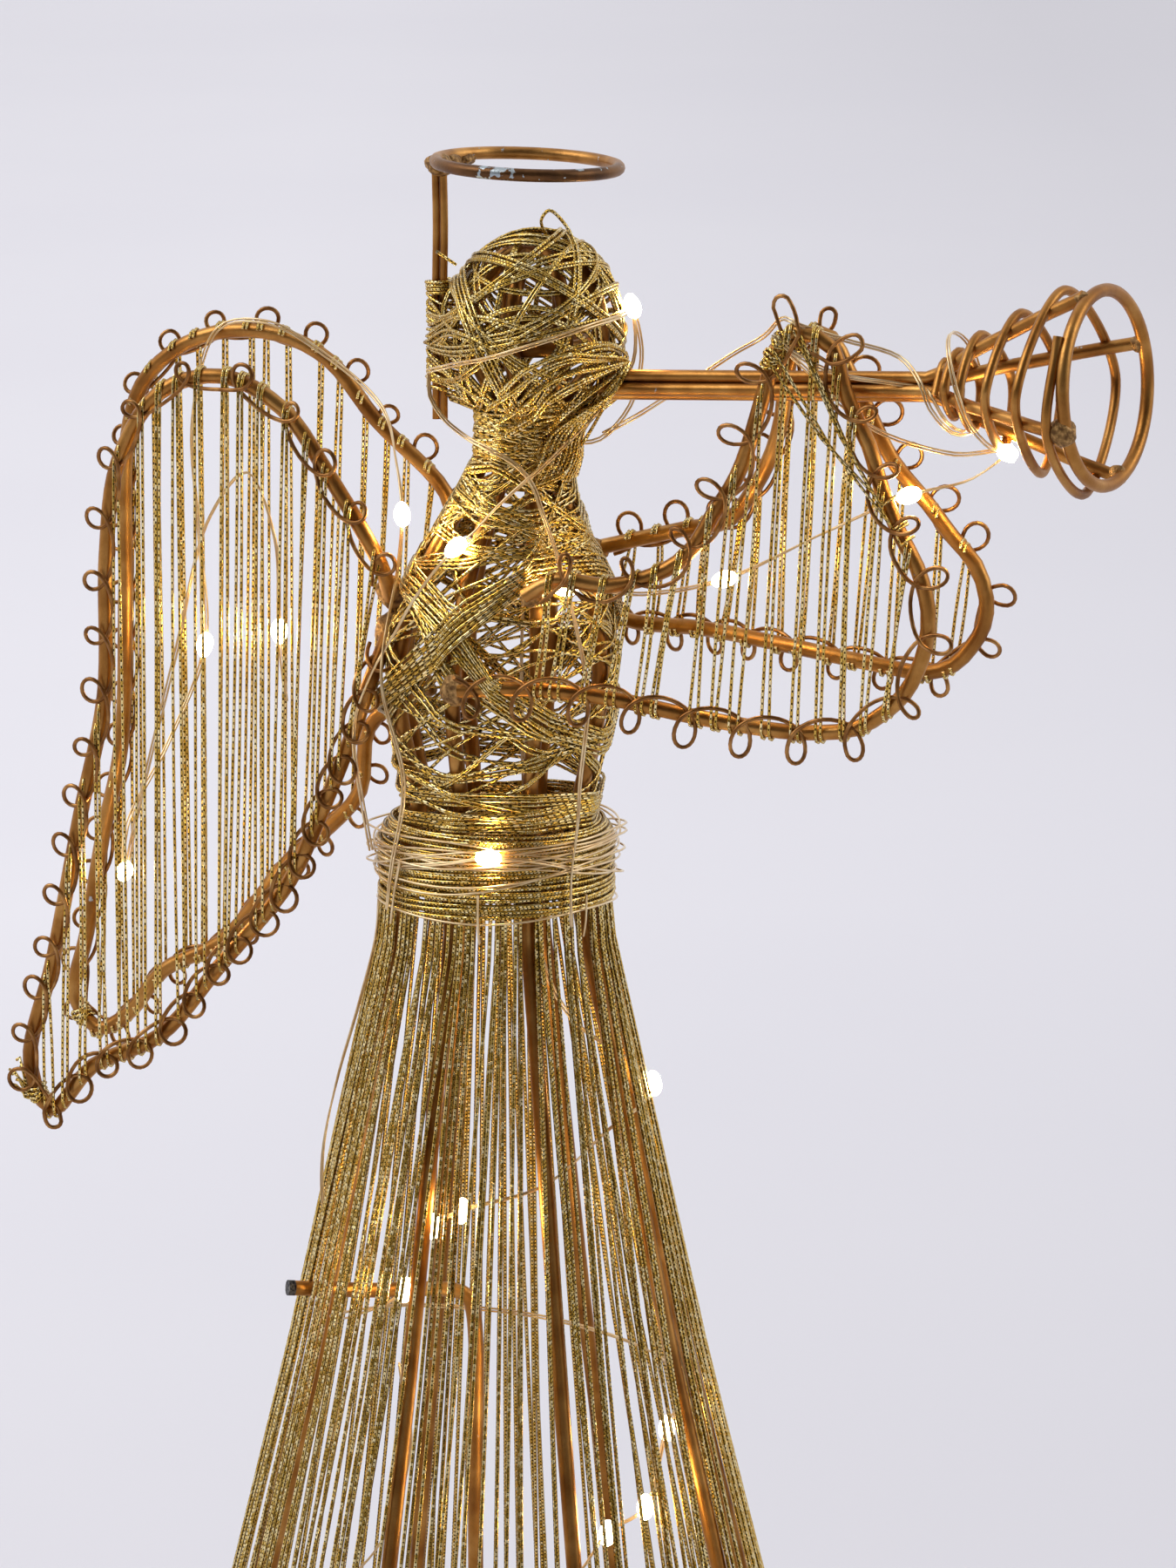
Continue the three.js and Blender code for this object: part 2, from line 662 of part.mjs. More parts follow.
// Upright runs of one thread on the frame's inner face, turning over its edge
function makeFrameThread(name, shape, count) {
  const outline = shape.curve.getSpacedPoints(200);
  const offset = -shape.outer * (threadToUpright + netClear);
  const [firstShare, lastShare] = shape.runsShares;
  const firstRun = shape.root + shape.direction * firstShare * shape.length;
  const spacing = (shape.direction * (lastShare - firstShare) * shape.length) / (count - 1);
  const points = [];
  for (let i = 0; i < count; i += 1) {
    const run = crossings(outline, firstRun + spacing * i);
    const next = crossings(outline, firstRun + spacing * (i + 1));
    const end = i % 2 === 0 ? 1 : 0;
    points.push(run[1 - end], run[end]);
    if (i < count - 1) {
      const turn = run[end].clone().lerp(next[end], 0.5);
      const past = end === 1 ? Math.max(run[1].z, next[1].z) : Math.min(run[0].z, next[0].z);
      turn.z = past + (end === 1 ? frameWire : -frameWire) / 2;
      points.push(turn);
    }
  }
  for (const point of points) point.x += offset;
  wound(`${name}_thread`, points, thread, 3, metallic);
}

function wingSide(sign) {
  return (y) => sign * THREE.MathUtils.mapLinear(
    y, wingRoot, wingRoot + nearWingLength, wingSpreadRoot, wingSpreadTip,
  );
}

function sleeveSide(sign, handSide) {
  return (y) => {
    const share = (-y - shoulderForward) / (handForward - shoulderForward);
    return sign * THREE.MathUtils.lerp(shoulderSide, handSide, THREE.MathUtils.clamp(share, 0, 1));
  };
}

function makeWings() {
  const wings = {
    near_wing: {
      shares: nearWingShares, length: nearWingLength, height: nearWingHeight, foot: nearWingFoot,
      outer: -1,
    },
    far_wing: {
      shares: farWingShares, length: farWingLength, height: farWingHeight, foot: farWingFoot,
      outer: 1,
    },
  };
  for (const [name, shape] of Object.entries(wings)) {
    const side = wingSide(shape.outer);
    Object.assign(shape, { root: wingRoot, direction: 1, side, runsShares: wingRunsShares });
    shape.curve = frameCurve(shape);
    makeFrame(name, shape, wingFrameSteps);
    makeEyelets(name, shape, wingEyelets);
    makeFrameThread(name, shape, wingRuns);
  }
}

function makeSleeves() {
  const sleeves = {
    near_sleeve: {
      shares: nearSleeveShares, length: nearSleeveLength, height: nearSleeveHeight,
      foot: nearSleeveFoot, outer: -1, handSide: nearHandSide,
    },
    far_sleeve: {
      shares: farSleeveShares, length: farSleeveLength, height: farSleeveHeight,
      foot: farSleeveFoot, outer: 1, handSide: farHandSide,
    },
  };
  for (const [name, shape] of Object.entries(sleeves)) {
    const side = sleeveSide(shape.outer, shape.handSide);
    Object.assign(shape, { root: 0, direction: -1, side, runsShares: sleeveRunsShares });
    shape.curve = frameCurve(shape);
    makeFrame(name, shape, sleeveFrameSteps);
    makeEyelets(name, shape, sleeveEyelets);
    makeFrameThread(name, shape, sleeveRuns);
  }
}

function solid(geometry) {
  geometry.deleteAttribute('normal');
  geometry.deleteAttribute('uv');
  const merged = mergeVertices(geometry);
  return new wasm.Manifold(new wasm.Mesh({
    numProp: 3,
    vertProperties: merged.attributes.position.array,
    triVerts: new Uint32Array(merged.index.array),
  }));
}

function fromSolid(manifold) {
  const mesh = manifold.getMesh();
  const geometry = new THREE.BufferGeometry();
  geometry.setAttribute('position', new THREE.BufferAttribute(mesh.vertProperties, 3));
  geometry.setIndex(new THREE.BufferAttribute(mesh.triVerts, 1));
  geometry.computeVertexNormals();
  return geometry;
}

// A box between two opposite corners
function block(low, high) {
  const size = low.map((value, axis) => high[axis] - value);
  const middle = low.map((value, axis) => (high[axis] + value) / 2);
  return new THREE.BoxGeometry(...size).translate(...middle);
}

// Places the battery box's own frame: its origin is in the middle of the upright's wire,
// +Z runs up the wire and +Y points out of the skirt
function boxMatrix() {
  const turn = uprightAngle(boxUpright);
  const radius = skirtThreadRadius(boxMidHeight) - threadToUpright;
  const alongWire = round(-Math.sin(skirtLean), turn, Math.cos(skirtLean));
  const out = round(Math.cos(skirtLean), turn, Math.sin(skirtLean));
  const across = out.clone().cross(alongWire);
  const matrix = new THREE.Matrix4().makeBasis(across, out, alongWire);
  return matrix.setPosition(round(radius, turn, boxMidHeight));
}

const boxFrame = boxMatrix();
const boxBack = -frameWire / 2 - clear;
const cavityBack = boxBack - boxWall;
const cellMiddle = cavityBack - clear - cellDiameter / 2;
const grooveBack = cavityBack - cellDiameter - 2 * clear;
const grooveFront = grooveBack - coverThickness - 2 * clear;
const boxFront = grooveFront - boxLip;
const cavityHalfWidth = boxWidth / 2 - boxSideWall;
const cavityHalfLength = boxLength / 2 - boxWall;
const sliderMiddle = (boxBack + boxFront) / 2;
const sliderRoom = sliderLength + sliderTravel + 2 * clear;

function addToBox(name, geometry, material) {
  add(name, geometry, material).applyMatrix4(boxFrame);
}

function makeBatteryCase() {
  const halfWidth = boxWidth / 2;
  const halfLength = boxLength / 2;
  let body = solid(block([-halfWidth, boxFront, -halfLength], [halfWidth, boxBack, halfLength]));
  for (const side of [-1, 1]) {
    const middle = side * clipPlaceShare * boxLength;
    const half = clipLength / 2;
    const lug = block(
      [-clipWidth / 2, boxBack - overrun, middle - half],
      [clipWidth / 2, clipPast, middle + half],
    );
    body = body.add(solid(lug));
  }
  const notch = frameWire / 2 + clear;
  const cavityFront = boxFront - overrun;
  const grooveHalfWidth = cavityHalfWidth + grooveDepth;
  const open = halfLength + overrun;
  const cutters = [
    block(
      [-cavityHalfWidth, cavityFront, -cavityHalfLength],
      [cavityHalfWidth, cavityBack, cavityHalfLength],
    ),
    block([-grooveHalfWidth, grooveFront, -cavityHalfLength], [grooveHalfWidth, grooveBack, open]),
    block([-cavityHalfWidth, cavityFront, cavityHalfLength - overrun], [cavityHalfWidth, grooveBack, open]),
    block([-notch, boxBack, -open], [notch, clipPast + overrun, open]),
    block(
      [-halfWidth - overrun, sliderMiddle - sliderWidth / 2 - clear, -sliderRoom / 2],
      [-halfWidth + sliderPocket, sliderMiddle + sliderWidth / 2 + clear, sliderRoom / 2],
    ),
  ];
  for (const cutter of cutters) body = body.subtract(solid(cutter));
  addToBox('battery_case', fromSolid(body), moulded);
}

function makeBatteryCover() {
  const halfWidth = cavityHalfWidth + grooveDepth - clear;
  const foot = -cavityHalfLength + clear;
  const top = boxLength / 2;
  const back = grooveBack - clear;
  const front = grooveFront + clear;
  let cover = solid(block([-halfWidth, front, foot], [halfWidth, back, top]));
  const gripHalfWidth = cavityHalfWidth - 2 * clear;
  for (let i = 0; i < coverGrips; i += 1) {
    const start = top - (2 * i + 1) * coverGripLength;
    const grip = block(
      [-gripHalfWidth, front - coverGripHeight, start - coverGripLength / 2],
      [gripHalfWidth, front + coverThickness / 2, start + coverGripLength / 2],
    );
    cover = cover.add(solid(grip));
  }
  addToBox('battery_cover', fromSolid(cover), moulded);
}

function makeSwitch() {
  const side = -boxWidth / 2 + sliderPocket - clear;
  const foot = -sliderRoom / 2 + clear;
  const half = sliderWidth / 2;
  addToBox('switch_slider', block(
    [side - sliderHeight, sliderMiddle - half, foot],
    [side, sliderMiddle + half, foot + sliderLength],
  ), cellSkin);
}

function makeCells() {
  const reach = cellDiameter / 2;
  for (const [name, side] of [['battery_cell_1', -1], ['battery_cell_2', 1]]) {
    const profile = [
      [0, -cellLength / 2], [reach, -cellLength / 2], [reach, cellLength / 2],
      [cellNubDiameter / 2, cellLength / 2],
      [cellNubDiameter / 2, cellLength / 2 + cellNubLength], [0, cellLength / 2 + cellNubLength],
    ].map(([radius, height]) => new THREE.Vector2(radius, height));
    const cell = new THREE.LatheGeometry(profile, 12).rotateX((side * Math.PI) / 2);
    cell.translate(side * (reach + clear / 2), cellMiddle, (side * -cellNubLength) / 2);
    addToBox(name, cell, cellSkin);
  }
  for (const [name, side] of [['contact_bottom', -1], ['contact_top', 1]]) {
    const outer = side * (cavityHalfLength - clear);
    const inner = outer - side * contactThickness;
    addToBox(name, block(
      [-contactWidth / 2, cellMiddle - contactHeight / 2, Math.min(inner, outer)],
      [contactWidth / 2, cellMiddle + contactHeight / 2, Math.max(inner, outer)],
    ), nickel);
  }
}

// A closed tube along a route, swelling into a drop at each light
function lightString(name, route, lit) {
  const curve = new THREE.CatmullRomCurve3(route, false, 'centripetal');
  const last = route.length - 1;
  const length = curve.getLength();
  const sections = [];
  for (let i = 0; i < last; i += 1) {
    for (let k = 0; k < lightSteps; k += 1) sections.push([(i + k / lightSteps) / last, lightWire / 2]);
  }
  sections.push([1, lightWire / 2]);
  for (const index of lit) {
    const at = index / last;
    const ahead = curve.getPoint(at + 1 / (last * 100)).distanceTo(curve.getPoint(at)) * last * 100;
    const half = beadLength / (2 * ahead);
    const clearOf = sections.filter(([t]) => Math.abs(t - at) > half * 1.2);
    sections.length = 0;
    sections.push(...clearOf, [at - half, lightWire / 2], [at - half / 2, beadDiameter / 2]);
    sections.push([at + half / 2, beadDiameter / 2], [at + half, lightWire / 2]);
  }
  sections.sort((a, b) => a[0] - b[0]);
  const sides = 4;
  const places = [];
  let across = new THREE.Vector3(0, 0, 1);
  for (const [t, radius] of sections) {
    const middle = curve.getPoint(THREE.MathUtils.clamp(t, 0, 1));
    const tangent = curve.getTangent(THREE.MathUtils.clamp(t, 0, 1));
    across = across.clone().addScaledVector(tangent, -across.dot(tangent)).normalize();
    for (let k = 0; k < sides; k += 1) {
      const corner = across.clone().applyAxisAngle(tangent, (2 * Math.PI * k) / sides);
      places.push(...corner.multiplyScalar(radius).add(middle).toArray());
    }
  }
  const faces = [];
  for (let i = 0; i < sections.length - 1; i += 1) {
    for (let k = 0; k < sides; k += 1) {
      const a = i * sides + k;
      const b = i * sides + ((k + 1) % sides);
      faces.push(a, b, b + sides, a, b + sides, a + sides);
    }
  }
  const end = (sections.length - 1) * sides;
  for (let k = 1; k < sides - 1; k += 1) {
    faces.push(0, k + 1, k, end, end + k, end + k + 1);
  }
  const geometry = new THREE.BufferGeometry();
  geometry.setAttribute('position', new THREE.Float32BufferAttribute(places, 3));
  geometry.setIndex(faces);
  geometry.computeVertexNormals();
  add(name, geometry, lights);
  console.log(`${name}: ${length.toFixed(0)} mm of light wire`);
}

function onBody(turn, height, off) {
  return round(torsoRadius(height) + off, turn, height, torsoMiddle(height));
}

// From the battery box round the inside of the skirt, up through the waist and out at the neck
function makeSkirtLights() {
  const inset = threadToUpright + frameWire / 2 + 2 * clear + beadDiameter / 2;
  const helix = [
    [110, 76], [140, 80], [170, 83], [200, 86], [224, 89], [233, 93], [243.6, 105], [275, 109],
    [320, 113.5], [365, 117], [410, 120], [455, 123], [500, 125.5], [533.6, 128], [541, 138],
    [550, 140], [580, 146], [610, 153], [633, 160],
  ];
  const top = boxLength / 2;
  const side = -boxWidth / 4;
  const route = [
    new THREE.Vector3(side, cellMiddle, top + clear).applyMatrix4(boxFrame),
    new THREE.Vector3(side, cellMiddle, top + 2 * beadLength).applyMatrix4(boxFrame),
    ...helix.map(([turn, height]) => round(skirtThreadRadius(height) - inset, turn, height)),
    round(9, 290, 178),
    round(5, 300, torsoFoot),
    round(4, 300, torsoFoot + 0.5 * torsoHeight),
    new THREE.Vector3(0.8, torsoMiddle(lightExit) - 2, lightExit - 6),
    round(4.6, lightExitTurn, lightExit, torsoMiddle(lightExit)),
    round(7.5, lightExitTurn, lightExit, torsoMiddle(lightExit)),
  ];
  lightString('light_string_skirt', route, [6, 7, 8, 15, 16, 17, 20]);
}

// From the neck over the face to the trumpet, round its pipe, back through the near sleeve
// and once round the belt
function makeFigureLights() {
  const route = [
    round(7.5 + lightEndGap, lightExitTurn, lightExit, torsoMiddle(lightExit)),
    new THREE.Vector3(3.6, -15.5, 263),
    new THREE.Vector3(5.6, -19.6, 268),
    new THREE.Vector3(6.6, -21.6, 275),
    new THREE.Vector3(5.5, -21.9, 283.5),
    new THREE.Vector3(3.4, -24.6, 283),
    new THREE.Vector3(3, -26.5, 278.5),
  ];
  const pipeRadius = bundleOffset * Math.SQRT2 + trumpetWire / 2 + clear + lightWire / 2;
  for (const [fromTurn, toTurn, from, to, steps] of [
    [60, 630, 8, 20, 10],
    [630, 630, 30, 36, 1],
    [630, 1350, 40.5, 48, 12],
  ]) {
    for (let i = 0; i <= steps; i += 1) {
      const turn = THREE.MathUtils.lerp(fromTurn, toTurn, i / steps);
      const distance = THREE.MathUtils.lerp(from, to, i / steps);
      route.push(trumpetPoint(pipeRadius + clear, turn, distance));
    }
  }
  const bell = route.length;
  route.push(
    new THREE.Vector3(-0.5, -72.5, 266.5),
    new THREE.Vector3(1, -80.3, 264.8),
    new THREE.Vector3(0, -75.5, 260.6),
    new THREE.Vector3(-3.1, -66.5, 258),
    new THREE.Vector3(-4.4, -54, 252),
    new THREE.Vector3(-6.4, -38.8, 244.4),
    new THREE.Vector3(-9.6, -27, 242),
    new THREE.Vector3(-12.3, -15.9, 242.7),
    onBody(226, 235, 1.6),
    onBody(222, 226, 1.4),
    onBody(214, 214, 1.6),
    round(beltThreadRadius + 1.9, 197, 201.9),
  );
  const belt = route.length - 1;
  for (let turn = 217; turn <= 497; turn += 20) {
    const height = THREE.MathUtils.lerp(201.9, 192, (turn - 197) / 300);
    route.push(round(beltThreadRadius + 1.1, turn, height));
  }
  lightString('light_string_figure', route, [4, bell + 1, bell + 3, bell + 5, bell + 7, belt]);
}

// From the belt up the back and along the inner faces of the wings
function makeWingLights() {
  const route = [
    round(beltThreadRadius + 1.1, 499.4, 192),
    round(beltThreadRadius + 1.3, 505, 199),
    onBody(155, 212, 2.6),
    onBody(168, 230, 1.6),
    onBody(178, 246.5, 2.2),
    onBody(162, 252, 2),
    onBody(146, 252.5, 2.4),
    new THREE.Vector3(-8, 14.5, 254),
    new THREE.Vector3(-8.4, 23, 247),
    new THREE.Vector3(-8.8, 32, 232.7),
    new THREE.Vector3(-9.4, 46, 212),
    new THREE.Vector3(-9.9, 57.7, 193.8),
    new THREE.Vector3(-6, 63, 190),
    new THREE.Vector3(4, 62, 200),
    new THREE.Vector3(9, 57, 215),
    new THREE.Vector3(9.6, 52.2, 226.4),
    new THREE.Vector3(8, 46, 236),
  ];
  lightString('light_string_wings', route, [4, 6, 9, 11, 15]);
}

makeHem();
makeUprights();
makeBodyRings();
makeHeadFrame();
makeHalo();
makeHeadWrap();
makeTorsoWrap();
makeBelt();
makeSkirtThread();
makeBracket();
makeTrumpet();
makeWings();
makeSleeves();
makeBatteryCase();
makeBatteryCover();
makeSwitch();
makeCells();
makeSkirtLights();
makeFigureLights();
makeWingLights();

// The origin is under the middle of the whole topper
const extent = new THREE.Box3().setFromObject(angel);
const middle = extent.getCenter(new THREE.Vector3());
angel.position.set(-middle.x, -middle.y, -extent.min.z);

export default angel;
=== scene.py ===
import math
import random
from bisect import bisect_left

import bmesh
import bpy
from mathutils import Matrix, Vector, noise


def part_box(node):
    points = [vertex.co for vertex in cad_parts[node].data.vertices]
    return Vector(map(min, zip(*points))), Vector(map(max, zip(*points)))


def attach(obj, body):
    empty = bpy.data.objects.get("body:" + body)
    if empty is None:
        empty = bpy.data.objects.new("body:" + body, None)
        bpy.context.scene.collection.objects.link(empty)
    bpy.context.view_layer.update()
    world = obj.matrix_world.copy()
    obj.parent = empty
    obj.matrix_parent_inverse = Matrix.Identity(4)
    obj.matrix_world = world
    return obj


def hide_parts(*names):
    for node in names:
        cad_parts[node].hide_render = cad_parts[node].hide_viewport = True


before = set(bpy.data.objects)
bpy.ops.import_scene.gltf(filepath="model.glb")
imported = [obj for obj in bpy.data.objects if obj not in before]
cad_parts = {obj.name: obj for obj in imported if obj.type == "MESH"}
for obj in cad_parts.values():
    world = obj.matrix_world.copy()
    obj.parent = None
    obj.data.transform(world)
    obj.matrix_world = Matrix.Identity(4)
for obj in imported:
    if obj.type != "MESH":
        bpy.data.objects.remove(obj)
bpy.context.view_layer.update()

# Camera
# The photograph looks at the angel's right-hand side, 70 degrees round from her front and
# 11 degrees above, through a long lens from about 1.1 m.
hem_low, hem_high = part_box("hem_ring")
figure_axis = (Vector(hem_low) + Vector(hem_high)) / 2
camera_turn = math.radians(-70)
camera_rise = math.radians(11)
camera_distance = 1.1
camera_back = Vector((
    math.sin(camera_turn) * math.cos(camera_rise),
    -math.cos(camera_turn) * math.cos(camera_rise),
    math.sin(camera_rise),
))
camera_right = Vector((math.cos(camera_turn), math.sin(camera_turn), 0))
camera_up = camera_back.cross(camera_right)


def at(x, y, z):
    """A place in the row frame from millimetres measured off the figure's upright axis."""
    return Vector((figure_axis.x + x / 1000, figure_axis.y + y / 1000, z / 1000))


lens = bpy.data.cameras.new("camera")
lens.lens = 165
lens.sensor_width = 36
camera = bpy.data.objects.new("camera", lens)
bpy.context.scene.collection.objects.link(camera)
camera_aim = at(0, 0, 198) + 0.014 * camera_right + 0.01133 * camera_up
camera.location = camera_aim + camera_distance * camera_back
turned = Matrix((camera_right, camera_up, camera_back)).transposed()
camera.rotation_euler = turned.to_euler()
bpy.context.scene.camera = camera
bpy.context.scene.view_settings.view_transform = "Standard"


# Floor and studio light
# A seamless pale paper floor that runs out of sight behind the angel, two broad soft lamps
# and a pale room that is dimmer on the camera's side.
def colour(sheet):
    """An sRGB hex colour as linear light."""
    parts = [int(sheet[i:i + 2], 16) / 255 for i in (1, 3, 5)]
    return [*(p / 12.92 if p <= 0.04045 else ((p + 0.055) / 1.055) ** 2.4 for p in parts), 1]


def put(tree, kind, inputs, stops=(), **settings):
    """Adds a node, sets it, gives its inputs values or links, and returns its outputs."""
    node = tree.nodes.new("ShaderNode" + kind)
    for name, value in settings.items():
        setattr(node, name, value)
    for name, value in inputs.items():
        if isinstance(value, bpy.types.NodeSocket):
            tree.links.new(value, node.inputs[name])
        else:
            node.inputs[name].default_value = value
    for i, (place, shade) in enumerate(stops):
        ramp = node.color_ramp.elements
        stop = ramp[i] if i < 2 else ramp.new(place)
        stop.position = place
        stop.color = colour(shade)
    return node.outputs


def new_material(name):
    """An empty node material and its tree."""
    material = bpy.data.materials.new(name)
    material.use_nodes = True
    material.node_tree.nodes.clear()
    return material, material.node_tree


def to_object(name, made):
    """Turns a finished bmesh into an object in the scene."""
    data = bpy.data.meshes.new(name)
    made.to_mesh(data)
    made.free()
    placed = bpy.data.objects.new(name, data)
    bpy.context.scene.collection.objects.link(placed)
    return placed


# Matte paper: nearly flat, with a faint mottling from its pulp. It is painted greyer far behind
# the figure, near it and towards the right: a painted falloff of the light and a painted shadow
# near the figure
paper, tree = new_material("matte_paper_floor")
place = put(tree, "TexCoord", {})["Object"]
pulp = put(tree, "TexNoise", {"Vector": place, "Scale": 3.0, "Detail": 4.0})["Fac"]
tone = put(tree, "ValToRGB", {"Fac": pulp}, stops=[(0.2, "#e7e6ed"), (0.8, "#ebeaf0")])["Color"]
back = put(
    tree, "VectorMath", {0: place, 1: (0.94, 0.342, 0)}, operation="DOT_PRODUCT",
)["Value"]
across = put(
    tree, "VectorMath", {0: place, 1: (0.342, -0.94, 0)}, operation="DOT_PRODUCT",
)["Value"]
# Masks for the painted shade: falloff of the light far behind the figure and to the right, and
# a painted shadow near the figure
far, near, right = (
    put(
        tree, "MapRange", {"Value": way, "From Min": low, "From Max": high, "To Max": most},
    )["Result"]
    for way, low, high, most in (
        (back, 1.0, 3.6, 0.28), (back, 0.9, 0.2, 0.22), (across, -0.15, 0.3, 0.35),
    )
)
# The floor's tone is mixed towards grey by this painted shade
painted_falloff = put(tree, "Math", {0: far, 1: near}, operation="ADD")["Value"]
painted_falloff = put(tree, "Math", {0: painted_falloff, 1: right}, operation="ADD")["Value"]
tone = put(tree, "Mix", {0: painted_falloff, 6: tone, 7: colour("#b9b8be")}, data_type="RGBA")[2]
shader = put(tree, "BsdfPrincipled", {"Base Color": tone, "Roughness": 0.9})["BSDF"]
put(tree, "OutputMaterial", {"Surface": shader})

floor_radius = 14
floor_mesh = bmesh.new()
bmesh.ops.create_circle(floor_mesh, cap_ends=True, segments=64, radius=floor_radius)
floor = to_object("paper_floor", floor_mesh)
floor.data.materials.append(paper)

studio = bpy.data.worlds.new("pale_room")
bpy.context.scene.world = studio
studio.use_nodes = True
tree = studio.node_tree
tree.nodes.clear()
direction = put(tree, "TexCoord", {})["Generated"]
towards = put(
    tree, "VectorMath", {0: direction, 1: camera_back}, operation="DOT_PRODUCT",
)["Value"]
room = put(
    tree, "ValToRGB", {"Fac": towards},
    stops=[(0.0, "#f0eff3"), (0.62, "#2e2a28")],
)["Color"]
shader = put(tree, "Background", {"Color": room, "Strength": 1.0})["Background"]
put(tree, "OutputWorld", {"Surface": shader})

for lamp_name, power, spread, towards_lamp in (
    ("key_softbox", 1.5, 40, -0.75 * camera_right + 0.75 * camera_up + 0.35 * camera_back),
    ("side_softbox", 0.8, 35, 0.9 * camera_right + 0.5 * camera_up + 0.2 * camera_back),
):
    lamp = bpy.data.lights.new(lamp_name, "SUN")
    lamp.energy = power
    lamp.angle = math.radians(spread)
    lamp_object = bpy.data.objects.new(lamp_name, lamp)
    lamp_object.rotation_euler = towards_lamp.to_track_quat("Z", "Y").to_euler()
    bpy.context.scene.collection.objects.link(lamp_object)


# Hem ring
# A ring of 2.4 mm steel wire, butt-soldered and painted copper gold. The whole figure
# stands on it and the skirt's threads go round it.
wire_width = 2.4
hem_radius = 59.725
hem_height = 1.04


def curved(t, start, leave, end, arrive):
    """A place on the cubic from start to end that leaves and arrives at the given slopes."""
    return (
        (2 * t ** 3 - 3 * t ** 2 + 1) * start + (t ** 3 - 2 * t ** 2 + t) * leave
        + (3 * t ** 2 - 2 * t ** 3) * end + (t ** 3 - t ** 2) * arrive
    )


def smooth(points, step, closed=False):
    """Rounds a bent route into a curve with a point about every step millimetres."""
    points = [Vector(p) for p in points]
    if closed:
        corners = [points[-1], *points, points[0], points[1]]
    else:
        corners = [2 * points[0] - points[1], *points, 2 * points[-1] - points[-2]]
    run = []
    for before, start, end, after in zip(corners, corners[1:], corners[2:], corners[3:]):
        ta = max((start - before).length, 1e-6) ** 0.5
        tb = max((end - start).length, 1e-6) ** 0.5
        tc = max((after - end).length, 1e-6) ** 0.5
        leave = ((start - before) / ta - (end - before) / (ta + tb) + (end - start) / tb) * tb
        arrive = ((end - start) / tb - (after - start) / (tb + tc) + (after - end) / tc) * tb
        pieces = max(1, round((end - start).length / step))
        run += [curved(i / pieces, start, leave, end, arrive) for i in range(pieces)]
    return run if closed else [*run, points[-1]]


def sweep(name, runs, width, sides=12, closed=False):
    """Round wire or thread along runs of figure points. Its UV map goes along it in
    millimetres, from a different place on each run, and once round it."""
    line = bpy.data.curves.new(name, "CURVE")
    line.dimensions = "3D"
    line.bevel_depth = width / 2000
    line.bevel_resolution = sides // 2 - 2
    line.use_fill_caps = not closed
    for run in runs:
        spline = line.splines.new("POLY")
        spline.points.add(len(run) - 1)
        spline.points.foreach_set("co", [v for p in run for v in (*at(*p), 1)])
        spline.use_cyclic_u = closed
    route = bpy.data.objects.new(name + "_route", line)
    bpy.context.scene.collection.objects.link(route)
    evaluated = route.evaluated_get(bpy.context.evaluated_depsgraph_get())
    mesh = bpy.data.meshes.new_from_object(evaluated)
    bpy.data.objects.remove(route)
    bpy.data.curves.remove(line)
    mesh.name = name
    across = mesh.uv_layers.active.data
    uv = [0.0] * (2 * len(across))
    across.foreach_get("uv", uv)
    corner = 0 if closed else 3 * 2 * (sides - 2) * len(runs)
    for number, run in enumerate(runs):
        ends = [*run, run[0]] if closed else run
        length = sum((Vector(b) - Vector(a)).length for a, b in zip(ends, ends[1:]))
        for _ in range(4 * sides * (len(ends) - 1)):
            uv[2 * corner] = uv[2 * corner] * length + 37.31 * number
            corner += 1
    across.foreach_set("uv", uv)
    mesh.shade_smooth()
    piece = bpy.data.objects.new(name, mesh)
    bpy.context.scene.collection.objects.link(piece)
    return piece


def fit(piece, material, slot, *nodes):
    """Finishes a piece, fixes it to the figure and lets it stand for CAD nodes."""
    piece.data.materials.clear()
    piece.data.materials.append(material)
    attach(piece, "figure")
    if nodes:
        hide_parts(*nodes)


def ring(radius, height, middle=(0, 0), tilt=0.0, count=72):
    """The points of a level ring, or of one tilted up at the back."""
    run = []
    for i in range(count):
        turn = 2 * math.pi * i / count
        x, y = radius * math.cos(turn), radius * math.sin(turn)
        run.append((
            middle[0] + x, middle[1] + y * math.cos(tilt), height + y * math.sin(tilt),
        ))
    return run


# Copper-gold metallic paint sprayed over steel wire: a satin metal whose tone wanders over
# a few millimetres, with a fine grain, browner patches where it is thin and a few silver
# chips where it has come off the steel
painted_wire, tree = new_material("sprayed_copper_gold_paint")
place = put(tree, "TexCoord", {})["Object"]
drift = put(tree, "TexNoise", {"Vector": place, "Scale": 140.0, "Detail": 3.0})["Fac"]
gold = put(
    tree, "ValToRGB", {"Fac": drift},
    stops=[(0.3, "#8b5926"), (0.7, "#d09c56"), (0.5, "#b07a3a")],
)["Color"]
grain = put(tree, "TexNoise", {"Vector": place, "Scale": 3200.0, "Detail": 2.0})["Fac"]
grained = put(tree, "Mix", {0: grain, 6: gold, 7: colour("#7f5424")}, data_type="RGBA")[2]
softened = put(tree, "Mix", {0: 0.3, 6: gold, 7: grained}, data_type="RGBA")[2]
patches = put(tree, "TexNoise", {"Vector": place, "Scale": 260.0, "Detail": 5.0})["Fac"]
chipped = put(
    tree, "MapRange", {"Value": patches, "From Min": 0.73, "From Max": 0.75},
)["Result"]
worn = put(tree, "Mix", {0: chipped, 6: softened, 7: colour("#b9bcbc")}, data_type="RGBA")[2]
satin = put(tree, "MapRange", {"Value": grain, "To Min": 0.3, "To Max": 0.48})["Result"]
skin = put(tree, "Bump", {"Height": grain, "Strength": 0.25, "Distance": 0.0001})["Normal"]
shader = put(
    tree, "BsdfPrincipled",
    {"Base Color": worn, "Metallic": 0.9, "Roughness": satin, "Normal": skin},
)["BSDF"]
put(tree, "OutputMaterial", {"Surface": shader})


def painted(name, runs, width, *nodes, **how):
    """A piece of painted wire that stands for CAD nodes."""
    fit(sweep(name, runs, width, **how), painted_wire, "painted_wire", *nodes)


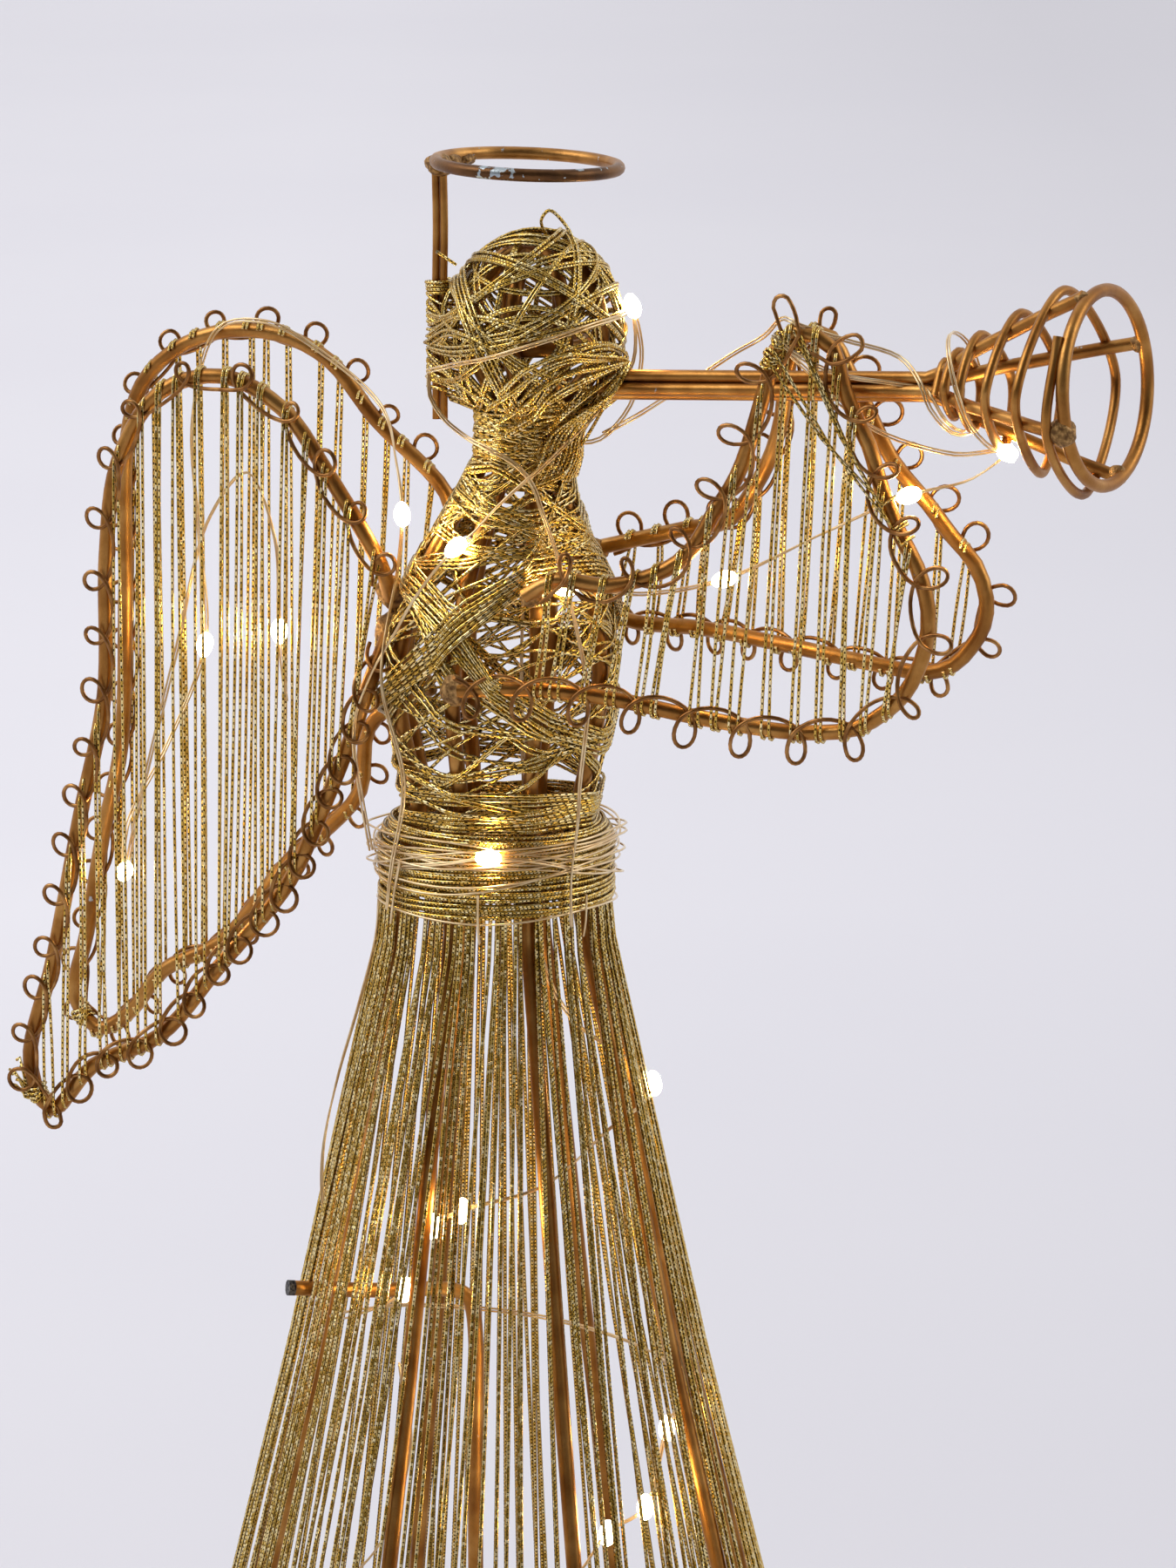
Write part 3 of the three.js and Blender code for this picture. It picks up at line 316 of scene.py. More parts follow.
painted("hem", [ring(hem_radius, hem_height, count=96)], 2.06, "hem_ring", closed=True)

# Uprights
# Eight steel wires, each bent once at the waist and shaped over the chest, soldered to the
# hem ring at the foot and gathered at the neck. They carry the skirt and the torso.
bay_angle = 45
upright_turns = [264 - bay_angle * i for i in range(8)]
upright_inset = 1.6
waist_radius = 15.2
waist_foot = 189.0
torso_foot = 198.0
torso_height = 68.0
chest_radius = 19.3
torso_lean = -4.5
belt_radius = 16.85
knee_height = 121
knee_radius = 31.9
foot_radius = 61.8
chest_shares = (
    (0, 0.84), (0.14, 0.83), (0.28, 0.93), (0.42, 1), (0.57, 0.935),
    (0.7, 0.79), (0.8, 0.62), (0.91, 0.47), (1, 0.46),
)
lean_shares = ((0, 0), (0.14, 0.16), (0.42, 0.2), (0.7, 0.49), (0.91, 0.87), (1, 1))


def along(shares, place):
    """The value at a place in a table of (place, value) pairs, on a smooth curve."""
    last = len(shares) - 1
    i = 0
    while i < last - 1 and place > shares[i + 1][0]:
        i += 1

    def slope(a, b):
        return (shares[b][1] - shares[a][1]) / (shares[b][0] - shares[a][0])

    width = shares[i + 1][0] - shares[i][0]
    t = min(max((place - shares[i][0]) / width, 0), 1)
    leave = slope(max(i - 1, 0), i + 1) * width
    arrive = slope(i, min(i + 2, last)) * width
    return curved(t, shares[i][1], leave, shares[i + 1][1], arrive)


def chest(height):
    """The torso's outer radius at a height."""
    return chest_radius * along(chest_shares, (height - torso_foot) / torso_height)


def lean(height):
    """How far the torso's middle stands forward at a height, along Y."""
    return torso_lean * along(lean_shares, (height - torso_foot) / torso_height)


def skirt(height):
    """The radius of the skirt's threads at a height."""
    if height > waist_foot:
        return belt_radius
    if height > knee_height:
        up = (height - knee_height) / (waist_foot - knee_height)
        return knee_radius + (belt_radius - knee_radius) * up
    return foot_radius + (knee_radius - foot_radius) * height / knee_height


def rib_depth(height):
    """How far inside the torso's outer radius the uprights run at a height."""
    return 2.7 + 0.6 * min(max(0, (height - 235) / 31), 1)


def around(radius, turn, height, middle=0.0):
    """A point at a radius and a turn in degrees."""
    a = math.radians(turn)
    return Vector((radius * math.cos(a), middle + radius * math.sin(a), height))


for i, turn in enumerate(upright_turns):
    route = [
        around(skirt(height) - upright_inset, turn, height)
        for height in (2.6, 30, 60, 90, 118, 124, 150, 170)
    ]
    route += [around(waist_radius, turn, height) for height in (waist_foot, torso_foot)]
    for height in (207, 214, 221, 228, 235, 242, 249, 256, 262, 266):
        route.append(around(chest(height) - rib_depth(height), turn, height, lean(height)))
    painted(f"upright_{i + 1}", [smooth(route, 3)], wire_width, f"upright_wire_{i + 1}")

# Waist and neck rings
# Two small rings of the same wire, 25 mm and 5 mm across, soldered inside the uprights to
# hold them apart.
painted("waist", [ring(12.5, 195.6, count=40)], wire_width, "waist_ring", closed=True)
neck = ring(2.6, 265.15, middle=(0, lean(266)), count=28)
painted("neck", [neck], 2.3, "neck_ring", closed=True)

# Head cage
# Eight bent wires that meet at the crown and the neck, with a level ring inside them. The
# thread for the head is wound over this cage.
head_forward = -6.6
head_middle = Vector((0, head_forward, 280))
cage_width = 10.5
cage_height = 12.15


def on_cage(turn, a):
    """A point on the cage at a turn, an angle down from the crown."""
    return around(cage_width * math.sin(a), turn, cage_height * math.cos(a)) + head_middle


def cage_rib(turn, trim):
    """One rib of the cage, from near the crown to near the neck."""
    start = trim / cage_width
    return [on_cage(turn, start + (math.pi - 2 * start) * i / 32) for i in range(33)]


hoop = [on_cage(45, 2 * math.pi * i / 72) for i in range(72)]
painted("head_cage_hoop", [hoop], wire_width, "head_hoop", closed=True)
painted("head_cage_ribs_near", [cage_rib(135, 2.4)], wire_width, "head_arc_near")
painted("head_cage_ribs_far", [cage_rib(315, 2.4)], wire_width, "head_arc_far")
side_ribs = [cage_rib(turn, 3.8) for turn in (0, 90, 180, 270)]
painted("head_cage_ribs_side", side_ribs, wire_width)
cage_ring = ring(7.6, 277.6, middle=(0, head_forward), count=40)
painted("head_cage_ring", [cage_ring], wire_width, "head_ring", closed=True)

# Tree bracket
# One length of the same wire: a bar soldered beside a back upright, bent down into a long
# post that is tied to the tree's top shoot. Its ends are cut and left bare.
bracket_turn = 129
beside_upright = around(2.5, bracket_turn - 90, 0)
bracket_route = [
    around(32.8, bracket_turn, 132.3) + beside_upright,
    around(20, bracket_turn, 130.8) + beside_upright,
    (-1.9, 6.6, 129.6), (-1.0, 4.6, 128.6), (-0.6, 3.8, 126), (-0.5, 3.6, 90), (-0.5, 3.6, 14),
]
painted("bracket", [smooth(bracket_route, 1.5)], wire_width, "tree_bracket")


def mottled(name, stops, scale, detail, inputs, satin=None, relief=None):
    """A material that takes its colour from one noise, which is stretched if its scale has
    three parts. The same noise can run its roughness from one value to another. Its relief
    is a noise of its own: scale, detail, strength and distance."""
    material, tree = new_material(name)
    place = put(tree, "TexCoord", {})["Object"]
    spread = place
    if isinstance(scale, tuple):
        spread = put(tree, "Mapping", {"Vector": place, "Scale": scale})["Vector"]
        scale = 1.0
    patches = put(tree, "TexNoise", {"Vector": spread, "Scale": scale, "Detail": detail})["Fac"]
    shade = put(tree, "ValToRGB", {"Fac": patches}, stops=stops)["Color"]
    inputs = {"Base Color": shade, **inputs}
    if satin:
        inputs["Roughness"] = put(
            tree, "MapRange", {"Value": patches, "To Min": satin[0], "To Max": satin[1]},
        )["Result"]
    if relief:
        scale, detail, strength, distance = relief
        bumps = put(
            tree, "TexNoise", {"Vector": place, "Scale": scale, "Detail": detail},
        )["Fac"]
        inputs["Normal"] = put(
            tree, "Bump", {"Height": bumps, "Strength": strength, "Distance": distance},
        )["Normal"]
    shader = put(tree, "BsdfPrincipled", inputs)["BSDF"]
    put(tree, "OutputMaterial", {"Surface": shader})
    return material


# Bare cut steel: dark and rough, with a few bright burrs
cut_steel = mottled(
    "bare_cut_steel", [(0.4, "#26262a"), (0.75, "#8d8a86")], 2200.0, 3.0,
    {"Metallic": 0.7, "Roughness": 0.6}, relief=(2200.0, 3.0, 0.8, 0.0003),
)
bar_end, bar_next = Vector(bracket_route[0]), Vector(bracket_route[1])
outward = (bar_end - bar_next).normalized()
cut_run = [bar_end - 0.7 * outward, bar_end + 0.35 * outward]
cut_end = sweep("bracket_cut_end", [cut_run], 2.46)
fit(cut_end, cut_steel, "painted_wire")

# Halo
# A ring of 2 mm wire on two thin posts that are soldered behind the head and to the ring's
# back.
halo_forward = -5.2
halo_ring = ring(13.75, 304.6, middle=(0, halo_forward), tilt=math.radians(2.4))
halo = sweep("halo", [halo_ring], 1.96, closed=True)

# The same paint, painted a darker brown on the side of the ring that faces the camera, as
# painted shade with some browner worn paint, and flaked off down to the bluish steel in three
# places, the first two side by side
flaked_paint_and_shade, tree = new_material("handled_and_flaked_paint")
place = put(tree, "TexCoord", {})["Object"]
drift = put(tree, "TexNoise", {"Vector": place, "Scale": 200.0, "Detail": 4.0})["Fac"]
gold = put(
    tree, "ValToRGB", {"Fac": drift}, stops=[(0.3, "#8a5b28"), (0.7, "#d09a54")],
)["Color"]
# A darker brown copy of the paint's tone for the side facing the camera: painted shade, with
# some browner worn paint
brown = put(
    tree, "ValToRGB", {"Fac": drift}, stops=[(0.3, "#3f2a18"), (0.7, "#7a5330")],
)["Color"]
# The side of the ring that faces the camera, where the shade is painted
camera_side = put(
    tree, "VectorMath", {0: place, 1: (-0.94, -0.34, 0)}, operation="DOT_PRODUCT",
)["Value"]
handled = put(
    tree, "MapRange", {"Value": camera_side, "From Min": -0.004, "From Max": 0.007},
)["Result"]
paint = put(tree, "Mix", {0: handled, 6: gold, 7: brown}, data_type="RGBA")[2]
ragged = put(tree, "TexNoise", {"Vector": place, "Scale": 900.0, "Detail": 5.0})["Fac"]
bare = None
for turn, reach in ((183, 3.4), (174, 2.6), (235, 1.2)):
    flake = put(
        tree, "VectorMath", {0: place, 1: at(*around(13.9, turn, 305.1, halo_forward))},
        operation="DISTANCE",
    )["Value"]
    near_flake = put(tree, "MapRange", {
        "Value": flake, "From Min": reach / 1000, "From Max": 0, "To Min": -0.12,
        "To Max": 0.16,
    })["Result"]
    bare = near_flake if bare is None else put(
        tree, "Math", {0: bare, 1: near_flake}, operation="MAXIMUM",
    )["Value"]
bare = put(tree, "Math", {0: bare, 1: ragged}, operation="ADD")["Value"]
bare = put(tree, "MapRange", {"Value": bare, "From Min": 0.56, "From Max": 0.58})["Result"]
worn = put(tree, "Mix", {0: bare, 6: paint, 7: colour("#aab4b8")}, data_type="RGBA")[2]
grain = put(tree, "TexNoise", {"Vector": place, "Scale": 3200.0, "Detail": 2.0})["Fac"]
satin = put(tree, "MapRange", {"Value": grain, "To Min": 0.28, "To Max": 0.5})["Result"]
raised = put(tree, "Math", {0: bare, 1: -1.0, 2: grain}, operation="MULTIPLY_ADD")["Value"]
skin = put(tree, "Bump", {"Height": raised, "Strength": 0.4, "Distance": 0.0001})["Normal"]
shader = put(
    tree, "BsdfPrincipled",
    {"Base Color": worn, "Metallic": 0.85, "Roughness": satin, "Normal": skin},
)["BSDF"]
put(tree, "OutputMaterial", {"Surface": shader})
fit(halo, flaked_paint_and_shade, "painted_wire", "halo_ring")
for post_name, node, y in (
    ("halo_post_inner", "halo_post_front", 7.95), ("halo_post_outer", "halo_post_back", 9.2),
):
    post_route = smooth([(-1, y, 265.5), (-1, y, 285), (-1.1, y - 0.2, 295), (-1, y, 304)], 3)
    painted(post_name, [post_route], 1.2, node)

# Trumpet
# Four 2 mm wires soldered in a bundle that open out into a bell, a ring at its mouth and a
# thinner wire wound over them in a widening spiral of five turns.
trumpet_wire = 2.0
bell_radius = 14.3
pipe_length = 50.0
bell_length = 27.5
trumpet_place = (
    Matrix.Translation((0, -20.6, 272)) @ Matrix.Rotation(math.radians(-3.5), 4, "Z")
    @ Matrix.Rotation(math.radians(87.25), 4, "X")
)


def on_trumpet(radius, turn, distance):
    """A point round the trumpet's axis, at a distance from its mouthpiece. The bell was
    soldered on a little askew."""
    opened = max(0, distance - pipe_length) / bell_length
    skew = 0.105 * radius * math.cos(math.radians(turn)) - 0.95
    return trumpet_place @ around(radius, turn, distance + opened * skew)


pipe_shape = (
    (-3.5, 1.45), (16, 1.45), (32, 1.45), (46.5, 1.45), (49, 1.45), (53, 3.2), (57, 5.7),
    (64, 9.0), (71, 12.3), (75.6, 14.2), (77, 14.9),
)
pipe_turns = [20 + 90 * i for i in range(4)]
for i, turn in enumerate(pipe_turns):
    route = [on_trumpet(radius, turn, distance) for distance, radius in pipe_shape]
    painted(f"trumpet_{i + 1}", [smooth(route, 2)], trumpet_wire, f"trumpet_wire_{i + 1}")
bell_mouth = [on_trumpet(bell_radius, 5 * i, pipe_length + bell_length) for i in range(72)]
painted("bell_mouth", [bell_mouth], trumpet_wire, "bell_ring", closed=True)
spiral_shape = (
    (-1.3, 51.2, 3.3), (-1, 51.8, 3.7), (-0.75, 52.4, 4.0), (-0.5, 53, 4.4), (-0.25, 53.4, 4.7),
    (0, 54, 5.2), (0.25, 55, 5.7), (0.5, 56, 6.2), (0.75, 56.8, 7.0), (1, 57.6, 7.7),
    (1.25, 59, 8.3), (1.5, 60.7, 9.0), (1.75, 62.4, 9.9), (2, 64.2, 10.9), (2.25, 65.3, 11.7),
    (2.5, 66.9, 12.6), (2.75, 69.2, 13.5), (3, 71.3, 14.3), (3.25, 72.3, 15), (3.5, 73.7, 15.6),
    (3.7, 75, 15.8), (3.85, 76.2, 15.4),
)
spiral_route = [on_trumpet(radius, 90 - 360 * turns, d) for turns, d, radius in spiral_shape]
spiral = smooth(smooth(spiral_route, 2), 0.8)
painted("bell_windings", [spiral], 1.5, "bell_spiral", sides=10)

# Wing and sleeve frames
# Each is one length of the frame wire bent to its outline, with both ends soldered to the
# torso's uprights.
bent_frames = {
    "near_wing": dict(
        root=12, length=60, foot=156.2, height=116, outer=-1,
        start=(-7.2, 14.3, 238.6), end=(-7.2, 14.6, 233.4),
        shares=(
            (0.035, 0.763), (0.175, 0.88), (0.29, 0.96), (0.45, 1), (0.62, 0.975),
            (0.735, 0.88), (0.77, 0.757), (0.78, 0.57), (0.85, 0.405), (0.93, 0.207),
            (0.998, 0.06), (0.94, 0), (0.825, 0.064), (0.64, 0.112), (0.478, 0.21),
            (0.283, 0.333), (0.205, 0.418), (0.115, 0.53), (0.06, 0.61),
        ),
    ),
    "far_wing": dict(
        root=12, length=65.7, foot=162.2, height=113.6, outer=1,
        start=(11.13, 10.51, 244.28), end=(10.55, 16.21, 221.96),
        shares=(
            (0.01, 0.79), (0.19, 0.886), (0.31, 0.963), (0.44, 0.995),
            (0.6, 0.993), (0.72, 0.962), (0.8, 0.915), (0.84, 0.84), (0.85, 0.62),
            (0.867, 0.408), (0.92, 0.275), (0.966, 0.136), (1, 0.042), (0.94, 0),
            (0.85, 0.03), (0.762, 0.092), (0.6, 0.143), (0.5, 0.21), (0.42, 0.267),
            (0.317, 0.317), (0.236, 0.371), (0.212, 0.46),
        ),
    ),
    "near_sleeve": dict(
        root=0, length=-71.1, foot=222.3, height=60, outer=-1, hand=7.6,
        start=(-20.3, -1.6, 227.6), end=(-17.9, -11.4, 242),
        shares=(
            (0.16, 0.097), (0.33, 0.078), (0.51, 0.033), (0.685, 0), (0.76, 0),
            (0.845, 0.017), (0.91, 0.065), (0.95, 0.112), (0.976, 0.168), (0.995, 0.235),
            (1, 0.323), (0.975, 0.43), (0.935, 0.515), (0.897, 0.62), (0.868, 0.727),
            (0.84, 0.79), (0.81, 0.875), (0.79, 0.96), (0.752, 0.99), (0.707, 1),
            (0.672, 0.957), (0.655, 0.89), (0.63, 0.782), (0.603, 0.673), (0.578, 0.608),
            (0.543, 0.542), (0.508, 0.465), (0.473, 0.422), (0.42, 0.387), (0.332, 0.36),
            (0.226, 0.373),
        ),
    ),
    "far_sleeve": dict(
        root=0, length=-76.8, foot=230.4, height=50, outer=1, hand=3.2,
        start=(17.6, -9.64, 235.71), end=(14.19, -11.16, 244.54),
        shares=(
            (0.2, 0.058), (0.384, 0.064), (0.592, 0.048), (0.775, 0.016), (0.88, 0),
            (0.935, 0.03), (0.97, 0.086), (0.995, 0.154), (1, 0.234), (0.977, 0.336),
            (0.932, 0.412), (0.879, 0.512), (0.807, 0.636), (0.754, 0.79), (0.715, 0.9),
            (0.681, 0.994), (0.63, 1), (0.599, 0.96), (0.578, 0.852), (0.569, 0.746),
            (0.548, 0.636), (0.508, 0.524), (0.445, 0.408), (0.341, 0.364),
        ),
    ),
}


def stand_off(shape, y):
    """How far a frame stands to the side at a place along Y. A sleeve starts at the
    shoulder and closes in on its hand at the trumpet; a wing opens a little backwards."""
    if "hand" in shape:
        shoulder, reach = 21.5, 50
        share = min(max((-y - 1) / reach, 0), 1)
        return shape["outer"] * (shoulder + (shape["hand"] - shoulder) * share)
    root, opening = 12, 3 / 60
    return shape["outer"] * (root + opening * (y - root))


for name, shape in bent_frames.items():
    route = [Vector(shape["start"])]
    for forward, rise in shape["shares"]:
        y = shape["root"] + forward * shape["length"]
        route.append(Vector((stand_off(shape, y), y, shape["foot"] + rise * shape["height"])))
    route.append(Vector(shape["end"]))
    shape["outline"] = smooth(route, 1)
    painted(name, [smooth(route, 2.5)], wire_width, name + "_frame")

# Eyelets
# One thin brown copper wire per frame, coiled into a row of open loops along the outside
# and soldered down between them. Where the loops are spaced unevenly, a row's spread pairs
# a share of its loops with the share of its length that they take up.
eyelet_wire = 0.66
points_in_loop = 24
eyelet_rows = {
    "near_wing": dict(count=37, first=3, spread=((0.48, 0.57),), stand=0.4, half=2.6, wide=1.9),
    "far_wing": dict(count=34, first=3, spread=((0.5, 0.53),), stand=0.9, half=2.6, wide=1.9),
    "near_sleeve": dict(
        count=22, first=-1.6, stand=0.9, half=3.5, wide=1.4,
        spread=((0.341, 0.318), (0.432, 0.416), (0.614, 0.594), (0.659, 0.643), (0.704, 0.682),
                (0.75, 0.722), (0.795, 0.772), (0.886, 0.867)),
    ),
    "far_sleeve": dict(count=23, first=3, spread=((0.5, 0.5),), stand=1.1, half=3, wide=1.9),
}

# Copper-plated wire gone brown: darker than the frames, satin, lighter where the loops
# have rubbed
eyelet_copper = mottled(
    "browned_copper_wire", [(0.32, "#6f4822"), (0.68, "#bd8c52"), (0.5, "#946536")], 420.0, 4.0,
    {"Metallic": 0.9, "Roughness": 0.36}, relief=(5000.0, 2.0, 0.2, 0.00005),
)


def measured(run):
    """The distance along a run at each of its points."""
    places = [0.0]
    for a, b in zip(run, run[1:]):
        places.append(places[-1] + (b - a).length)
    return places


def spot(run, places, distance):
    """The point and direction at a distance along a measured run."""
    distance = min(max(distance, 0), places[-1])
    i = max(bisect_left(places, distance) - 1, 0)
    step = places[i + 1] - places[i]
    ahead = (run[i + 1] - run[i]).normalized()
    return run[i].lerp(run[i + 1], (distance - places[i]) / step), ahead


for name, shape in bent_frames.items():
    random.seed("eyelets " + name)
    outline = shape["outline"]
    places = measured(outline)
    eyelets = eyelet_rows[name]
    count, first = eyelets["count"], eyelets["first"]
    length = places[-1] - first - 2
    spread = ((0, 0), *eyelets["spread"], (1, 1))
    jitter = [random.uniform(-0.7, 0.7) for _ in range(count + 2)]
    size = [random.uniform(0.86, 1.06) for _ in range(count + 2)]
    tip = [random.uniform(-0.5, 0.6) for _ in range(count + 2)]
    if name == "near_sleeve":
        size[14:16] = (1.2, 1.3)  # the two large loops at the sleeve's peak
    route = []
    for i in range(count * points_in_loop + 1):
        turn = 2 * math.pi * i / points_in_loop
        loop = min(i // points_in_loop, count - 1)
        distance = first + length * along(spread, i / points_in_loop / count)
        middle = first + length * along(spread, (loop + 0.5) / count)
        pitch = length * (along(spread, (loop + 1) / count) - along(spread, loop / count))
        stand = (1 - math.cos(turn)) / 2
        swing = (eyelets["wide"] + pitch / 5) * size[loop] * math.sin(turn)
        swing += jitter[loop] * stand
        # At its foot the loop follows the frame, and at its top it lies square to the frame
        base = spot(outline, places, distance + swing)[0]
        ahead = spot(outline, places, distance)[1]
        centre = spot(outline, places, middle)[0]
        square = spot(outline, places, middle + 2)[0] - spot(outline, places, middle - 2)[0]
        square.normalize()
        point = base.lerp(centre + (distance + swing - middle) * square, stand)
        ahead = ahead.lerp(square, stand)
        outward = Vector((0, -ahead.z, ahead.y)).normalized()
        reach = eyelets["stand"] - eyelets["half"] * math.cos(turn)
        reach *= size[loop] if reach > 0 else 0.85
        point += reach * outward
        point.x += shape["outer"] * (1.55 - 0.55 * math.sin(turn) + tip[loop] * stand)
        route.append(point)
    loops = sweep(name + "_loops", [route], eyelet_wire, sides=6)
    fit(loops, eyelet_copper, "eyelet_wire", name + "_eyelets")

# Solder
# Lumps of solder where the frames, posts and rings meet, painted over with the rest: dull,
# rough and browner than the wire.
solder_spots = (
    ((-1.2, 8.4, 304.2), 2.1, (1.2, 1, 0.82)), ((2.6, 8.2, 304.3), 1.7, (1.8, 1, 0.78)),
    ((6.2, 6.8, 304.4), 1.2, (1.6, 1, 0.8)), ((-6.6, 14.4, 239.3), 2.2, (1, 1, 1.2)),
    ((-6.6, 14.6, 233.6), 2.2, (1, 1, 1.4)), ((-19.6, -0.9, 227.5), 2.4, (0.7, 1, 1)),
    ((-17.3, -12.2, 241.8), 1.6, (0.8, 1, 0.9)), ((11.4, 10.8, 244), 2.0, (0.8, 1, 1)),
    ((10.6, 15.9, 222), 2.0, (0.8, 1, 1)), ((17.2, -9.8, 235.6), 1.8, (0.8, 1, 1)),
    ((14, -11.3, 244.4), 1.8, (0.8, 1, 1)),
)

# Painted solder: a matt brown-gold crust with pits about 0.4 mm across
painted_solder = mottled(
    "painted_solder", [(0.35, "#6b4a25"), (0.65, "#bd935a"), (0.5, "#94703f")], 1500.0, 4.0,
    {"Metallic": 0.6, "Roughness": 0.55}, relief=(1500.0, 4.0, 0.7, 0.0004),
)


def lump(shape_mesh, centre, radius, stretch, seed):
    """Adds one uneven lump to a bmesh."""
    made = bmesh.ops.create_icosphere(shape_mesh, subdivisions=3, radius=radius / 1000)
    for vertex in made["verts"]:
        swell = 1 + 0.28 * noise.noise(vertex.co * 1000 / radius * 1.3 + Vector((seed, 0, 0)))
        vertex.co = Vector([c * s * swell for c, s in zip(vertex.co, stretch)]) + at(*centre)


solder_mesh = bmesh.new()
for i, (centre, radius, stretch) in enumerate(solder_spots):
    lump(solder_mesh, centre, radius, stretch, 7 * i)
for i, radius in enumerate((1.3, 1.3, 2.1, 1.5)):
    joint = on_trumpet(bell_radius, pipe_turns[i], pipe_length + bell_length - 0.8)
    lump(solder_mesh, joint, radius, (1, 1, 1), 3 * i)
solder = to_object("solder_lumps", solder_mesh)
solder.data.shade_smooth()
fit(solder, painted_solder, "painted_wire")

# Skirt threads
# Gold lame cord, 0.64 mm thick, taken up and down between the belt and the hem ring in
# pairs. At the belt the pairs are gathered into flat bundles; they fan out to the hem.
pairs_in_bay = (9, 8, 9, 6, 8, 9, 8, 8)
bay_twist = (8, 12, 10, 6, 6, -2, 4, 5)
bundles_in_bay = (
    (0.05, 0.467, 0.878), (0.29, 0.8), (0.18, 0.56, 0.92), (0.3, 0.74), (0.2, 0.68),
    (0.16, 0.52, 0.86), (0.24, 0.7), (0.22, 0.7),
)
hem_top = 1.9
thread_top = 200
thread_width = 0.64
thread_pitch = 0.58
bundle_radius = 17
stitch_length = 0.6
dash_rows = 4.0


def new_braid(name, shade_grooves):
    """Metallised braid: bright gold foil wrapped and braided over a dark core. Each stitch
    lies at its own slant and takes its own shade of gold, the palest of them a painted glint,
    so the cord glitters, and the core shows between the stitches as two staggered rows of
    short olive dashes on each side. Where asked, painted shade darkens the sides of each
    cord, in the grooves where cords lie side by side."""
    material, tree = new_material(name)
    length_and_turn = put(tree, "UVMap", {}, uv_map="UVMap")["UV"]
    split = put(tree, "SeparateXYZ", {"Vector": length_and_turn})
    rows = put(tree, "Math", {0: split["Y"], 1: dash_rows}, operation="MULTIPLY")["Value"]
    row = put(tree, "Math", {0: rows}, operation="FLOOR")["Value"]
    in_row = put(tree, "Math", {0: rows}, operation="FRACT")["Value"]
    stitches = put(
        tree, "Math", {0: split["X"], 1: 1 / stitch_length}, operation="MULTIPLY",
    )["Value"]
    shifted = put(
        tree, "Math", {0: row, 1: 0.5, 2: stitches}, operation="MULTIPLY_ADD",
    )["Value"]
    stitch = put(tree, "Math", {0: shifted}, operation="FLOOR")["Value"]
    in_stitch = put(tree, "Math", {0: shifted}, operation="FRACT")["Value"]
    stitch_and_row = put(tree, "CombineXYZ", {"X": stitch, "Y": row})["Vector"]
    chance = put(
        tree, "TexWhiteNoise", {"Vector": stitch_and_row}, noise_dimensions="2D",
    )["Value"]
    dash_long = put(
        tree, "MapRange", {"Value": in_stitch, "From Min": 0.4, "From Max": 0.32},
    )["Result"]
    from_row = put(tree, "Math", {0: in_row, 1: 0.5}, operation="SUBTRACT")["Value"]
    row_half = put(tree, "Math", {0: from_row}, operation="ABSOLUTE")["Value"]
    dash_wide = put(
        tree, "MapRange", {"Value": row_half, "From Min": 0.34, "From Max": 0.24},
    )["Result"]
    dashes = put(tree, "Math", {0: dash_long, 1: dash_wide}, operation="MULTIPLY")["Value"]
    # Each stitch takes its own shade of gold at random; the palest, near-white stop is a
    # painted glint
    foil = put(
        tree, "ValToRGB", {"Fac": chance},
        stops=[(0.1, "#cda341"), (0.95, "#fdeab0"), (0.5, "#edc766")],
    )["Color"]
    braid = put(tree, "Mix", {0: dashes, 6: foil, 7: colour("#33280d")}, data_type="RGBA")[2]
    if shade_grooves:
        # Outward is away from the figure's upright axis, and from the head's middle above it
        place = put(tree, "TexCoord", {})["Object"]
        split = put(tree, "SeparateXYZ", {"Vector": place})
        level = put(tree, "Math", {0: split["Z"], 1: 0.28}, operation="MINIMUM")["Value"]
        middle = at(0, -2, 0)
        core = put(tree, "CombineXYZ", {"X": middle.x, "Y": middle.y, "Z": level})["Vector"]
        out = put(tree, "VectorMath", {0: place, 1: core}, operation="SUBTRACT")["Vector"]
        out = put(tree, "VectorMath", {0: out}, operation="NORMALIZE")["Vector"]
        facing = put(tree, "NewGeometry", {})["Normal"]
        outward = put(tree, "VectorMath", {0: facing, 1: out}, operation="DOT_PRODUCT")["Value"]
        outward = put(tree, "Math", {0: outward}, operation="ABSOLUTE")["Value"]
        # Painted shade: the sides of each cord, in the grooves where it meets its neighbours,
        # are darkened towards a dark brown
        groove_shade = put(
            tree, "MapRange",
            {"Value": outward, "From Min": 0.6, "From Max": 0.08, "To Max": 0.85},
        )["Result"]
        dark = colour("#4a3715")
        braid = put(tree, "Mix", {0: groove_shade, 6: braid, 7: dark}, data_type="RGBA")[2]
    tilt = put(tree, "Math", {0: chance, 1: 0.5}, operation="SUBTRACT")["Value"]
    ramped = put(tree, "Math", {0: tilt, 1: in_stitch}, operation="MULTIPLY")["Value"]
    relief = put(
        tree, "Math", {0: dashes, 1: -0.35, 2: ramped}, operation="MULTIPLY_ADD",
    )["Value"]
    skin = put(tree, "Bump", {"Height": relief, "Strength": 0.5, "Distance": 0.0002})["Normal"]
    dull = put(tree, "Math", {0: dashes, 1: 0.4, 2: 0.27}, operation="MULTIPLY_ADD")["Value"]
    shader = put(
        tree, "BsdfPrincipled",
        {"Base Color": braid, "Metallic": 0.88, "Roughness": dull, "Normal": skin},
    )["BSDF"]
    put(tree, "OutputMaterial", {"Surface": shader})
    return material


# Gold lame cord wound or bundled side by side, with painted shade in the grooves between cords,
# and the same cord strung singly, without it
wound_braid = new_braid("braided_gold_lame_cord_wound_with_painted_shade", True)
strung_braid = new_braid("braided_gold_lame_cord_strung", False)


def cord(name, runs, width, braid, *nodes, closed=False):
    """A piece of cord that stands for CAD nodes."""
    fit(sweep(name, runs, width, sides=6, closed=closed), braid, "metallic_thread", *nodes)


